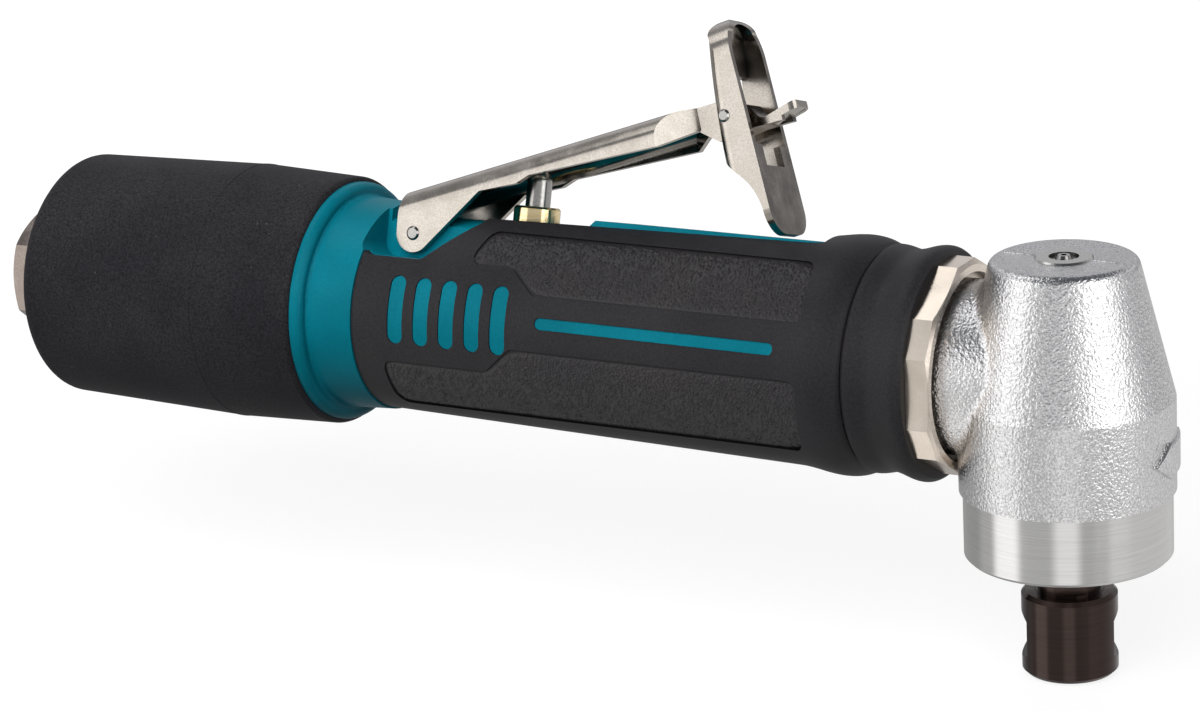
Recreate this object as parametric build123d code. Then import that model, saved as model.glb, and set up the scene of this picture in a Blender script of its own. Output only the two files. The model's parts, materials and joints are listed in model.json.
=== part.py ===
from build123d import *
import math
import os

# Pneumatic right angle die grinder with a rear exhaust silencer and a lock-off throttle lever.
# Millimetres. The origin is the centre of the collet mouth, +Z points up along the spindle,
# and the handle runs along X towards -X. The angle head is clamped at an angle round the handle axis,
# so the handle pieces are drawn upright, lever on top, in a handle frame whose X axis is the handle axis
# and whose origin is where that axis meets the spindle axis, and are then turned by the clocking.

# Clocking of the head round the handle axis, degrees
handle_clocking = 17.0

# Head stack along the spindle, from the collet mouth upwards
collet_length = 14.9
spindle_gap = 6.5
cap_length = 12.0
head_below_axis = 19.6
head_above_axis = 21.2

# Handle chain along the handle axis, from the spindle backwards
neck_reach = 17.6
ring_length = 4.2
collar_length = 11.6
bare_neck_length = 11.3
silencer_length = 60.9
gasket_thickness = 0.8
hex_length = 9.2

# Motor chain behind the lock ring
sleeve_length = 18.8
front_plate_thickness = 9.0
cylinder_length = 43.6
rear_plate_thickness = 8.0
valve_wall = 4.25

# Angle head casting
head_top_radius = 12.6
head_base_radius = 18.65
head_shoulder_drop = 3.3
head_shoulder_round = 1.5
head_rim_round = 1.6
neck_radius = 15.4
neck_blend = 2.2
sleeve_radius = 14.6
sleeve_bore_radius = 12.4
ring_relief = 0.4
gear_room = 1.0
cap_thread_wall = 1.2
cap_thread_length = 3.4
plug_radius = 5.0
plug_depth = 3.2
plug_stand = 0.3
fitting_radius = 1.9
fitting_nipple_radius = 1.5
fitting_tip_radius = 1.05
fitting_hole_radius = 0.5
fitting_stand = 0.25
plug_recess_radius = 2.6
plug_recess_depth = 0.5

# Bearing cap, the turned band under the casting
cap_radius = 18.0
cap_edge = 0.6
cap_lip = 2.8
seal_wall = 2.0
retainer_thickness = 2.0
retainer_width = 3.2
retainer_hole_inset = 1.5
retainer_hole_radius = 0.8
retainer_hole_count = 4

# Lock ring, a hexagon with cut corners
ring_flats = 36.0
ring_flat_share = 38.6
ring_counterbore_radius = 16.6
ring_counterbore_depth = 1.4
ring_bevel = 0.6

# Front collar and grip, outside radii
nose_radius = 16.6
collar_rear_radius = 20.1
collar_waist_radius = 19.5
collar_turn_radius = 20.1
collar_crest_radius = 20.6
collar_front_radius = 19.8
collar_waist_inset = 4.4
collar_turn_inset = 7.4
collar_crest_inset = 9.4
core_radius = 17.2
grip_rear_radius = 18.95
grip_front_radius = 20.3
flare_radius = 21.2
flare_length = 13.8
flare_crest_inset = 4.5
groove_radius = 20.2
seam_width = 0.7
seam_depth = 0.7
panel_depth = 0.35
panel_round = 2.0
pad_sink = 0.25
pad_root = 1.0

# Plain accents on each flank of the grip: a row of upright slots and a long stripe
accent_count = 5
accent_inset = 9.3
accent_pitch = 5.4
accent_width = 3.2
accent_height = 12.4
accent_drop = 0.2
stripe_width = 2.2
stripe_rear_inset = 38.5
stripe_front_inset = 12.5

# Textured panels of the grip: heights above and below the handle axis
panel_front_inset = 7.5
panel_front_lean = 1.2
panel_side_gap = 4.7
panel_lower_gap = 5.1
panel_step = 4.5
panel_step_run = 5.4
upper_panel_rear_inset = 22.3
upper_panel_lean = 2.0
upper_panel_step_reach = 9.6
upper_panel_top = 15.6
lower_panel_rear_inset = 6.0
lower_panel_step_reach = 22.0
lower_panel_bottom = 17.3

# Motor housing
lip_radius = 22.3
lip_length = 2.1
lip_round = 1.5
lip_blend = 0.6
bare_neck_radius = 19.8
bare_neck_front_radius = 19.3
seat_radius = 19.6
seat_length = 6.7
stub_radius = 11.5
motor_bore_radius = 15.0
lug_half_width = 7.4
pocket_rear_inset = 0.8
pocket_floor = 9.2
pocket_round = 2.6
pocket_flat_length = 12.4
pocket_slope_run = 7.9
pocket_slope_rise = 7.5
strip_half_width = 7.65
strip_top = 19.1
strip_rear_reach = 35.5
strip_front_inset = 10.5
valve_slot_half_width = 7.7
exhaust_hole_radius = 2.2
exhaust_hole_circle = 12.4
exhaust_hole_count = 5
exhaust_hole_spread = 120.0
strip_bevel = 1.2
feed_radius = 1.8
air_passage_radius = 3.4
socket_spare = 1.0

# Silencer
silencer_rear_radius = 23.0
silencer_kink_radius = 24.0
silencer_front_radius = 23.2
silencer_kink_reach = 39.8
silencer_edge_round = 3.0
silencer_front_round = 0.9
silencer_wall = 2.6
outlet_radius = 2.3
outlet_circle = 16.6
outlet_count = 12

# Air inlet, a quarter inch pipe thread in a 7/8 inch hexagon bushing
inlet_hex_flats = 22.2
inlet_hex_clocking = 42.0
inlet_face_radius = 11.0
inlet_chamfer_run = 1.0
inlet_chamfer_rise = 1.8
inlet_bore_radius = 5.7
inlet_bore_length = 15.0
inlet_thread_radius = 8.4
inlet_thread_length = 16.0
inlet_passage_radius = 4.4
screen_radius = 5.0
screen_thickness = 0.9
screen_hole_radius = 0.55
screen_hole_pitch = 1.7

# Throttle lever, stamped sheet, measured from its pivot along and above the lever
pivot_inset = 5.8
pivot_height = 13.7
pivot_pin_radius = 1.25
lever_slope = 19.2
lever_top = 8.2
lever_sheet = 1.5
lever_half_width = 9.3
lever_bend = 4.4
lever_length = 58.5
lever_taper = 6.5
lever_ear_radius = 3.5
lever_rear_overhang = 1.0
lever_ear_reach = 15.2
lever_ear_depth = 4.2
lever_step_place = 24.5
lever_step_half = 1.45
lever_step_rear_depth = 4.8
lever_step_front_depth = 4.0
lever_front_depth = 5.7
lever_nose_depth = 4.0
lever_nose_run = 6.4
lever_neck_half_width = 3.0
lever_neck_wall = 1.4
lever_neck_depth = 7.0
tongue_start = -2.0
tongue_shoulder_reach = 2.6
tongue_shoulder_drop = 1.8
tongue_dip_reach = 5.1
tongue_dip_drop = 5.2
tongue_bar_reach = 9.0
tongue_bar_drop = 6.4
tongue_tip_reach = 11.9
tongue_tip_drop = 3.45
tongue_tip_round = 1.6
tongue_bend = 1.0
neck_foot_front = 3.5
neck_foot_rise = 0.7
neck_foot_rear = 3.8
neck_slope_run = 3.8
neck_slope_rise = 3.0
neck_root = 2.0

# Lock tab, a drawn steel dish on a cross pin near the front of the lever
lock_pin_lead = 6.8
lock_pin_drop = 3.5
lock_pin_radius = 1.1
tab_lean = 21.5
tab_half_width = 7.2
tab_back_round = 2.2
tab_wall = 1.3
tab_front = 4.2
tab_above_pin = 17.5
tab_toe_gap = 0.32
tab_window = 6.3
tab_notch = 3.9
tab_slot_top = 7.8
tab_toe_round = 4.6
tab_crown_drop = 3.0
tab_crown_back = 0.1
tab_crown_top = 1.9
tab_middle_back = 1.5
tab_middle_rise = 4.3
tab_hip_back = 2.5
tab_hip_drop = 7.6
tab_waist_front = 1.2
tab_waist_drop = 12.6
tab_toe_drop = 18.0
tab_pocket_drop = 14.4
tab_slot_floor = 10.0
tab_slot_front = 1.2
lock_wire = 0.4
lock_coil_radius = 1.95
lock_coil_pitch = 0.85
lock_coil_turns = 1.25
lock_leg = 3.0

# Throttle valve under the lever
valve_arm = 20.4
valve_pin_radius = 2.3
valve_bushing_radius = 4.3
valve_bushing_top = 20.6
valve_bushing_foot = 9.0
valve_bore_floor = -12.0
valve_port_radius = 1.4
valve_port_rise = 2.0
valve_bushing_edge = 0.4
valve_groove_rise = 6.0
valve_groove_half = 0.6
valve_seal_wire = 0.5
poppet_radius = 3.5
poppet_thickness = 2.2
poppet_edge = 0.5
poppet_guide_length = 3.0
poppet_seal_wire = 0.7
valve_lever_gap = 0.3
valve_wire = 0.6
valve_coil_radius = 2.7
valve_coil_turns = 6.0

# Vane motor
rotor_radius = 10.2
cylinder_bore_radius = 11.8
cylinder_offset = 1.3
rotor_end_gap = 0.3
cylinder_port_radius = 1.6
cylinder_port_pitch = 7.0
plate_port_radius = 1.5
vane_count = 5
vane_thickness = 1.4
vane_depth = 4.6
vane_sink = 0.2
rear_shaft_radius = 3.0
front_shaft_radius = 4.0
pinion_shaft_radius = 2.5
pinion_screw_length = 1.6
pinion_screw_rim = 0.6
pinion_socket_radius = 1.2
pinion_socket_depth = 1.0

# Bevel gears
pinion_teeth = 14
gear_teeth = 21
gear_module = 1.0
gear_face = 4.0
gear_backlash = 0.16
gear_addendum = 0.9
gear_dedendum = 1.2
pressure_angle = 20.0
gear_hub_radius = 8.2
pinion_hub_radius = 5.3

# Spindle and collet
spindle_seat_radius = 6.0
spindle_gear_radius = 5.0
spindle_top_radius = 3.5
spindle_neck_radius = 5.5
spindle_neck_flats = 9.6
spindle_clocking = -65.0
spindle_collar_radius = 7.0
gear_spacer_length = 3.6
collet_radius = 8.35
collet_flats = 15.0
collet_flat_bottom = 3.6
collet_flat_top = 9.9
collet_flat_lead = 0.9
collet_flat_run = 1.2
collet_clocking = 23.2
collet_edge = 0.7
collet_lip = 2.6
collet_insert_radius = 4.3
collet_insert_spare = 1.0
collet_bore_radius = 3.175
collet_slit = 0.5
collet_slit_count = 4
nose_thread_radius = 5.9

# Rolling bearings
lower_bearing_diameter = 28.0
lower_bearing_width = 8.0
lower_bearing_balls = 8
upper_bearing_diameter = 19.0
upper_bearing_width = 6.0
upper_bearing_balls = 7
rear_bearing_diameter = 19.0
rear_bearing_width = 6.0
rear_bearing_balls = 7
front_bearing_diameter = 22.0
front_bearing_width = 7.0
front_bearing_balls = 7
ball_share = 0.3
race_play = 0.12
race_height = 0.45

# Clearances
slip = 0.05
running = 0.08
clear = 0.3

# Places that follow from the sizes above
collet_top = collet_length
cap_bottom = collet_top + spindle_gap
cap_top = cap_bottom + cap_length
axis_height = cap_top + head_below_axis
head_top = axis_height + head_above_axis
lower_bearing_radius = lower_bearing_diameter / 2
cap_thread_radius = lower_bearing_radius + cap_thread_wall
retainer_inner_radius = lower_bearing_radius - retainer_width
ring_front = -neck_reach
ring_rear = ring_front - ring_length
collar_rear = ring_rear - collar_length
sleeve_rear = ring_front - sleeve_length
front_plate_rear = sleeve_rear - front_plate_thickness
cylinder_rear = front_plate_rear - cylinder_length
motor_floor = cylinder_rear - rear_plate_thickness
valve_bore_radius = valve_bushing_radius + slip
valve_place = motor_floor - valve_wall - valve_bore_radius
pivot_place = valve_place - valve_arm
grip_rear = pivot_place - pivot_inset
silencer_front = grip_rear - bare_neck_length
silencer_rear = silencer_front - silencer_length
silencer_kink = silencer_rear + silencer_kink_reach
stub_rear = silencer_rear + silencer_wall
hex_front = silencer_rear - gasket_thickness
hex_rear = hex_front - hex_length
strip_rear = pivot_place + strip_rear_reach
strip_front = collar_rear - strip_front_inset
flare_start = collar_rear - flare_length
bearing_bottom = cap_bottom + cap_lip
bearing_top = bearing_bottom + lower_bearing_width
gear_bottom = bearing_top + gear_spacer_length
pinion_pitch_radius = gear_module * pinion_teeth / 2
gear_pitch_radius = gear_module * gear_teeth / 2
cone_distance = math.hypot(pinion_pitch_radius, gear_pitch_radius)
face_share = 1 - gear_face / cone_distance
far = 200.0

handle_frame = Pos(0, 0, axis_height) * Rot(-handle_clocking, 0, 0)
lever_frame = Pos(pivot_place, 0, pivot_height) * Rot(0, -lever_slope, 0)
lock_pin_reach = lever_length + lock_pin_lead
lock_pin_height = lever_top - lock_pin_drop
lever_rise = math.sin(math.radians(lever_slope))
lever_run = math.cos(math.radians(lever_slope))
tab_rise = math.cos(math.radians(tab_lean))
toe_rise = (tab_front - tab_wall) * math.sin(math.radians(tab_lean))
lock_pin_stand = pivot_height + lock_pin_reach * lever_rise + lock_pin_height * lever_run - strip_top
tab_below_pin = (lock_pin_stand + toe_rise - tab_toe_gap) / tab_rise
tab_frame = lever_frame * Pos(lock_pin_reach, 0, lock_pin_height) * Rot(0, lever_slope - tab_lean, 0)


# Shared shapes
def turned(points, plane, axis):
    """Solid of revolution of a closed outline of straight runs."""
    return revolve(plane * make_face(Polyline(*points, close=True)), axis, 360)


def turned_x(points):
    """Outline points are (place along X, radius)."""
    return turned(points, Plane.XZ, Axis.X)


def turned_z(points):
    """Outline points are (radius, height)."""
    return turned(points, Plane.XZ, Axis.Z)


def tube_x(start, end, outer, inner=0.0):
    return turned_x([(start, inner), (end, inner), (end, outer), (start, outer)])


def tube_z(bottom, top, outer, inner=0.0):
    return turned_z([(inner, bottom), (outer, bottom), (outer, top), (inner, top)])


def side_prism(points, half_width, rounding=0.0):
    """Outline in the XZ plane carried to both sides of it."""
    face = make_face(Polyline(*points, close=True))
    if rounding > 0:
        face = fillet(face.vertices(), rounding)
    return extrude(Plane.XZ * face, half_width, both=True)


def box_between(low, high):
    size = [b - a for a, b in zip(low, high)]
    middle = [(a + b) / 2 for a, b in zip(low, high)]
    return Pos(*middle) * Box(*size)


def rim(part, radius, place, along):
    """Circular edges of a radius at a place along an axis."""
    found = []
    for edge in part.edges().filter_by(GeomType.CIRCLE):
        centre = edge.arc_center
        if abs(edge.radius - radius) < slip and abs(getattr(centre, along) - place) < slip:
            found.append(edge)
    return found


def hexagon_x(start, end, flats, clocking):
    """Hexagon bar along X with a corner at an angle from +Y towards +Z."""
    profile = RegularPolygon(flats / 2, 6, major_radius=False, rotation=clocking)
    return Pos(start, 0, 0) * (Plane.YZ * extrude(profile, end - start))


def ball_bearing(bore, outside, width, balls):
    """Outer ring, inner ring and balls, on the Z axis with the bottom face at the origin."""
    pitch_radius = (bore + outside) / 4
    ball_radius = ball_share * (outside - bore) / 2
    groove = Pos(0, 0, width / 2) * Torus(pitch_radius, ball_radius + race_play)
    outer = tube_z(0, width, outside / 2, pitch_radius + race_height * ball_radius) - groove
    inner = tube_z(0, width, pitch_radius - race_height * ball_radius, bore / 2) - groove
    ball_set = []
    for place in PolarLocations(pitch_radius, balls):
        ball_set.append(Pos(0, 0, width / 2) * place * Sphere(ball_radius))
    return outer, inner, ball_set


def tooth_half_angle(height, teeth, cone_angle, pitch_radius):
    """Half the angle that a tooth fills, at a height above its pitch cone on the back cone."""
    virtual_radius = pitch_radius / math.cos(cone_angle)
    base_radius = virtual_radius * math.cos(math.radians(pressure_angle))
    radius = virtual_radius + height
    flank_angle = math.acos(min(1.0, base_radius / radius))
    pitch_angle = math.radians(pressure_angle)
    thickness = math.pi * gear_module / 2 - gear_backlash
    turn = thickness / (2 * virtual_radius)
    turn += math.tan(pitch_angle) - pitch_angle - math.tan(flank_angle) + flank_angle
    return turn * radius / (pitch_radius + height * math.cos(cone_angle))


def cone_radius(height, pitch_radius, apex_distance):
    """Radius, in the plane of the large end, of a line from the apex at a height above the pitch cone."""
    cone_angle = math.atan2(pitch_radius, apex_distance)
    radius = pitch_radius + height * math.cos(cone_angle)
    return radius * apex_distance / (apex_distance - height * math.sin(cone_angle))


def tooth_tip_radius(pitch_radius, apex_distance):
    return cone_radius(gear_addendum * gear_module, pitch_radius, apex_distance)


def bevel_teeth(teeth, pitch_radius, apex_distance):
    """Straight bevel teeth round +Z, apex at the origin, one tooth centred on -X."""
    cone_angle = math.atan2(pitch_radius, apex_distance)
    heights = [-gear_dedendum, -gear_dedendum / 2, 0.0, gear_addendum / 2, gear_addendum]
    flank = []
    for share in heights:
        height = share * gear_module
        radius = cone_radius(height, pitch_radius, apex_distance)
        flank.append((radius, tooth_half_angle(height, teeth, cone_angle, pitch_radius)))
    outline = []
    for tooth in range(teeth):
        middle = math.pi + 2 * math.pi * tooth / teeth
        for radius, half in flank:
            outline.append((radius * math.cos(middle - half), radius * math.sin(middle - half)))
        for radius, half in reversed(flank):
            outline.append((radius * math.cos(middle + half), radius * math.sin(middle + half)))
    large = make_face(Polyline(*outline, close=True))
    small = [(x * face_share, y * face_share) for x, y in outline]
    small_end = make_face(Polyline(*small, close=True))
    return loft([Pos(0, 0, apex_distance * face_share) * small_end, Pos(0, 0, apex_distance) * large], ruled=True)


def helix_point(radius, pitch, angle):
    return Vector(radius * math.cos(angle), radius * math.sin(angle), pitch * angle / (2 * math.pi))


def helix_tangent(radius, pitch, angle):
    rise = pitch / (2 * math.pi)
    return Vector(-radius * math.sin(angle), radius * math.cos(angle), rise).normalized()


def biarc(start, start_dir, end, end_dir):
    """Two arcs that leave start and reach end along the given directions."""
    chord = end - start
    total = start_dir + end_dir
    square = 2 * (1 - start_dir.dot(end_dir))
    half_b = chord.dot(total)
    reach = (-half_b + math.sqrt(half_b ** 2 + square * chord.dot(chord))) / square
    joint = (start + end + (start_dir - end_dir) * reach) * 0.5
    joint_dir = (end - start - (start_dir + end_dir) * reach).normalized()
    return [TangentArc(start, joint, tangent=start_dir), TangentArc(joint, end, tangent=joint_dir)]


def coil_path(radius, pitch, turns):
    """Helix round +Z from (radius, 0, 0), as biarcs of a quarter turn."""
    steps = round(turns * 4)
    edges = []
    for step in range(steps):
        first = step * math.pi / 2
        last = first + math.pi / 2
        edges += biarc(
            helix_point(radius, pitch, first),
            helix_tangent(radius, pitch, first),
            helix_point(radius, pitch, last),
            helix_tangent(radius, pitch, last),
        )
    return edges


def wire_along(edges, diameter):
    path = Wire(edges)
    section = Plane(origin=path @ 0, z_dir=path % 0) * Circle(diameter / 2)
    return sweep(section, path=path)


def coil_gap(radius, pitch, turns, diameter):
    """Least gap of a coil to itself, measured on points a sixtieth of a turn apart."""
    count = round(turns * 60)
    points = [helix_point(radius, pitch, 2 * math.pi * turns * k / count) for k in range(count + 1)]
    least = far
    for first in range(count + 1):
        for second in range(first + 40, count + 1):
            least = min(least, (points[second] - points[first]).length)
    return least - diameter


# Angle head pieces, in the part's own frame
def angle_head():
    shoulder = axis_height - head_shoulder_drop
    body = turned_z([
        (0, cap_top),
        (head_base_radius, cap_top),
        (head_base_radius, shoulder),
        (head_top_radius, head_top),
        (0, head_top),
    ])
    body = fillet(rim(body, head_base_radius, shoulder, "Z"), head_shoulder_round)
    body = fillet(rim(body, head_top_radius, head_top, "Z"), head_rim_round)
    neck = Pos(0, 0, axis_height) * tube_x(2 * ring_front, 0, neck_radius)
    joined = body + neck
    casting = fillet(new_edges(body, neck, combined=joined), neck_blend)
    face = ring_front + ring_relief
    casting -= Pos(0, 0, axis_height) * tube_x(4 * ring_front, face, ring_flats)
    stub = tube_x(ring_front - ring_counterbore_depth + ring_relief, face, neck_radius)
    sleeve = tube_x(sleeve_rear, face, sleeve_radius)
    casting += Pos(0, 0, axis_height) * (stub + sleeve)
    return casting - head_hollows()


def head_hollows():
    """Everything bored out of the casting."""
    gear_tip = tooth_tip_radius(gear_pitch_radius, pinion_pitch_radius) + gear_room
    bore = tube_z(cap_top - slip, cap_top + cap_thread_length + slip, cap_thread_radius + slip)
    bore += tube_z(cap_top, axis_height - pinion_pitch_radius * face_share + gear_room, gear_tip)
    bearing_foot = upper_bearing_foot()
    bore += tube_z(bearing_foot - gear_room, bearing_foot + upper_bearing_width, upper_bearing_diameter / 2 + slip)
    bore += tube_z(axis_height - pinion_pitch_radius, bearing_foot + slip, spindle_top_radius + 3 * clear)
    pinion_tip = tooth_tip_radius(pinion_pitch_radius, gear_pitch_radius) + gear_room
    pinion_room = tube_x(pinion_bearing_front(), 0, pinion_tip)
    seat = tube_x(sleeve_rear, pinion_bearing_front(), front_bearing_diameter / 2 + slip)
    mouth = tube_x(sleeve_rear, pinion_bearing_front() - front_bearing_width, sleeve_bore_radius)
    bore += Pos(0, 0, axis_height) * (pinion_room + seat + mouth)
    bore += tube_z(head_top - plug_depth, head_top, plug_radius + slip)
    return bore


def upper_bearing_foot():
    return axis_height + pinion_pitch_radius + 2 * gear_module


def pinion_bearing_front():
    return -gear_pitch_radius - gear_face - gear_module


def bearing_cap():
    body = tube_z(cap_bottom, cap_top, cap_radius)
    body += tube_z(cap_top, cap_top + cap_thread_length, cap_thread_radius)
    body = chamfer(rim(body, cap_radius, cap_bottom, "Z"), cap_edge)
    body -= tube_z(bearing_bottom, cap_top + cap_thread_length, lower_bearing_radius + slip)
    return body - tube_z(cap_bottom, bearing_bottom, spindle_collar_radius + seal_wall)


def shaft_seal():
    inner = spindle_collar_radius + running
    return tube_z(cap_bottom + clear, bearing_bottom - slip, spindle_collar_radius + seal_wall - slip, inner)


def bearing_retainer():
    low = bearing_top + slip
    ring = tube_z(low, low + retainer_thickness, lower_bearing_radius, retainer_inner_radius)
    for place in PolarLocations(lower_bearing_radius - retainer_hole_inset, retainer_hole_count):
        ring -= place * Pos(0, 0, low) * Cylinder(retainer_hole_radius, 4 * retainer_thickness)
    return ring


def head_plug():
    disc = tube_z(head_top - plug_depth, head_top + plug_stand, plug_radius)
    disc = chamfer(rim(disc, plug_radius, head_top + plug_stand, "Z"), plug_stand)
    floor = head_top + plug_stand - plug_recess_depth
    disc -= tube_z(floor, head_top + plug_stand, plug_recess_radius)
    return disc - tube_z(head_top - plug_depth, head_top + plug_stand, fitting_radius + slip)


def grease_fitting():
    low = head_top - plug_depth
    floor = head_top + plug_stand - plug_recess_depth
    top = head_top + plug_stand + fitting_stand
    return turned_z([
        (fitting_hole_radius, low),
        (fitting_radius, low),
        (fitting_radius, floor),
        (fitting_nipple_radius, floor),
        (fitting_tip_radius, top),
        (fitting_hole_radius, top),
    ])


def lock_ring():
    corner = ring_flats / 2 / math.cos(math.radians(ring_flat_share / 2))
    points = []
    for flat in range(6):
        for side in (-1, 1):
            angle = math.radians(60 * flat + side * ring_flat_share / 2)
            points.append((corner * math.cos(angle), corner * math.sin(angle)))
    face = make_face(Polyline(*points, close=True))
    body = Plane.YZ * extrude(face, ring_length)
    body = Pos(ring_rear, 0, 0) * body
    bevel = turned_x([
        (ring_front - ring_length, corner + ring_bevel),
        (ring_front - ring_length, 0),
        (ring_front, 0),
        (ring_front, corner - 2 * ring_bevel),
        (ring_front - ring_bevel, corner + ring_bevel),
    ])
    body &= bevel
    body -= tube_x(ring_rear, ring_front, sleeve_radius + slip)
    body -= tube_x(ring_front - ring_counterbore_depth, ring_front, ring_counterbore_radius)
    return Pos(0, 0, axis_height) * body


# Handle shells, in the handle frame
def grip_radius_at(place):
    share = (place - grip_rear) / (flare_start - grip_rear)
    return grip_rear_radius + share * (grip_front_radius - grip_rear_radius)


def pocket_outline(margin):
    """Side view of the recess beside the lever's ears."""
    rear = grip_rear - pocket_rear_inset - margin
    floor = pocket_floor - margin
    bend = grip_rear + pocket_flat_length + margin
    top = pocket_floor + pocket_slope_rise
    return [
        (rear, floor),
        (bend, floor),
        (bend + pocket_slope_run, top),
        (bend + 2 * pocket_slope_run, 2 * lip_radius),
        (rear, 2 * lip_radius),
    ]


def accent_outlines(margin):
    """Plain upright slots and one long stripe on each flank of the grip, as capsules."""
    slots = []
    slot_width = accent_width - 2 * margin
    slot_height = accent_height - 2 * margin
    for index in range(accent_count):
        place = grip_rear + accent_inset + accent_pitch * index
        slots.append(Pos(place, -accent_drop) * SlotOverall(slot_height, slot_width, rotation=90))
    stripe_start = grip_rear + stripe_rear_inset
    stripe_end = collar_rear - stripe_front_inset
    stripe = SlotOverall(stripe_end - stripe_start - 2 * margin, stripe_width - 2 * margin)
    slots.append(Pos((stripe_start + stripe_end) / 2, 0) * stripe)
    return slots


def accent_prisms(margin):
    prisms = []
    for slot in accent_outlines(margin):
        prisms.append(extrude(Plane.XZ * slot, 2 * lip_radius, both=True))
    return prisms


def upper_panel():
    rear = grip_rear + upper_panel_rear_inset
    front = collar_rear - panel_front_inset
    step = rear + upper_panel_step_reach
    return [
        (rear + upper_panel_lean, upper_panel_top),
        (front - panel_front_lean, upper_panel_top),
        (front, panel_side_gap),
        (step + panel_step_run, panel_side_gap),
        (step, panel_side_gap + panel_step),
        (rear, panel_side_gap + panel_step),
    ]


def lower_panel():
    rear = grip_rear + lower_panel_rear_inset
    front = collar_rear - panel_front_inset
    step = rear + lower_panel_step_reach
    return [
        (rear, -panel_lower_gap - panel_step),
        (step, -panel_lower_gap - panel_step),
        (step + panel_step_run, -panel_lower_gap),
        (front, -panel_lower_gap),
        (front - panel_front_lean, -lower_panel_bottom),
        (rear, -lower_panel_bottom),
    ]


def grip_sleeve():
    crest = collar_rear - flare_crest_inset
    inner = core_radius + slip
    outline = Polyline(
        (collar_rear - seam_width, groove_radius),
        (collar_rear - slip, groove_radius - seam_depth),
        (collar_rear - slip, inner),
        (grip_rear, inner),
        (grip_rear, grip_rear_radius),
        (flare_start, grip_front_radius),
    )
    crown = Spline(
        (flare_start, grip_front_radius),
        (crest, flare_radius),
        (collar_rear - seam_width, groove_radius),
        tangents=[(1, 0.02), (1, -0.7)],
    )
    sleeve = revolve(Plane.XZ * make_face(outline + crown), Axis.X, 360)
    pocket = side_prism(pocket_outline(slip), 2 * lip_radius, pocket_round)
    sleeve -= pocket
    slot_rear = grip_rear + pocket_flat_length
    sleeve -= box_between((slot_rear, -valve_slot_half_width, 0), (strip_rear - clear, valve_slot_half_width, far))
    half_strip = strip_half_width + slip
    sleeve -= box_between((strip_rear - clear, -half_strip, 0), (strip_front + slip, half_strip, far))
    skin = turned_x([
        (grip_rear, grip_rear_radius - panel_depth),
        (collar_rear, grip_radius_at(collar_rear) - panel_depth),
        (collar_rear, 2 * lip_radius),
        (grip_rear, 2 * lip_radius),
    ])
    for panel in (upper_panel(), lower_panel()):
        sleeve -= skin & side_prism(panel, 2 * lip_radius, panel_round)
    for prism in accent_prisms(0):
        sleeve -= prism
    return sleeve


def front_collar():
    inner = nose_radius + slip
    sides = Polyline(
        (ring_rear - slip, collar_front_radius),
        (ring_rear - slip, inner),
        (collar_rear + slip, inner),
        (collar_rear + slip, collar_rear_radius - seam_depth),
        (collar_rear + seam_width, collar_rear_radius),
    )
    crown = Spline(
        (collar_rear + seam_width, collar_rear_radius),
        (collar_rear + collar_waist_inset, collar_waist_radius),
        (collar_rear + collar_turn_inset, collar_turn_radius),
        (collar_rear + collar_crest_inset, collar_crest_radius),
        (ring_rear - slip, collar_front_radius),
        tangents=[(1, 0), (1, -1.4)],
    )
    return revolve(Plane.XZ * make_face(sides + crown), Axis.X, 360)


def motor_housing():
    lip_front = silencer_front + lip_length
    body = turned_x([
        (stub_rear, 0),
        (ring_rear, 0),
        (ring_rear, nose_radius),
        (collar_rear, nose_radius),
        (collar_rear, core_radius),
        (grip_rear - slip, core_radius),
        (grip_rear - slip, bare_neck_front_radius),
        (lip_front, bare_neck_radius),
        (lip_front, lip_radius),
        (silencer_front, lip_radius),
        (silencer_front, seat_radius),
        (silencer_front - seat_length, seat_radius),
        (silencer_front - seat_length, stub_radius),
        (stub_rear, stub_radius),
    ])
    body = fillet(rim(body, lip_radius, lip_front, "X"), lip_round)
    body = fillet(rim(body, bare_neck_radius, lip_front, "X"), lip_blend)
    ear_room = side_prism(pocket_outline(0), 2 * lip_radius, pocket_round)
    ear_room -= side_prism(pocket_outline(lever_sheet), lug_half_width)
    body -= ear_room
    strip = box_between((strip_rear, -strip_half_width, 0), (strip_front, strip_half_width, strip_top))
    strip = chamfer(strip.edges().filter_by(Axis.Y).group_by(Axis.X)[0].sort_by(Axis.Z)[-1], strip_bevel)
    body += strip
    pad_front = collar_rear - stripe_front_inset
    pad_ring = turned_x([
        (grip_rear, core_radius - pad_root),
        (pad_front, core_radius - pad_root),
        (pad_front, grip_radius_at(pad_front) - pad_sink),
        (grip_rear, grip_rear_radius - pad_sink),
    ])
    for prism in accent_prisms(slip):
        body += pad_ring & prism
    return body - housing_hollows()


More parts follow.
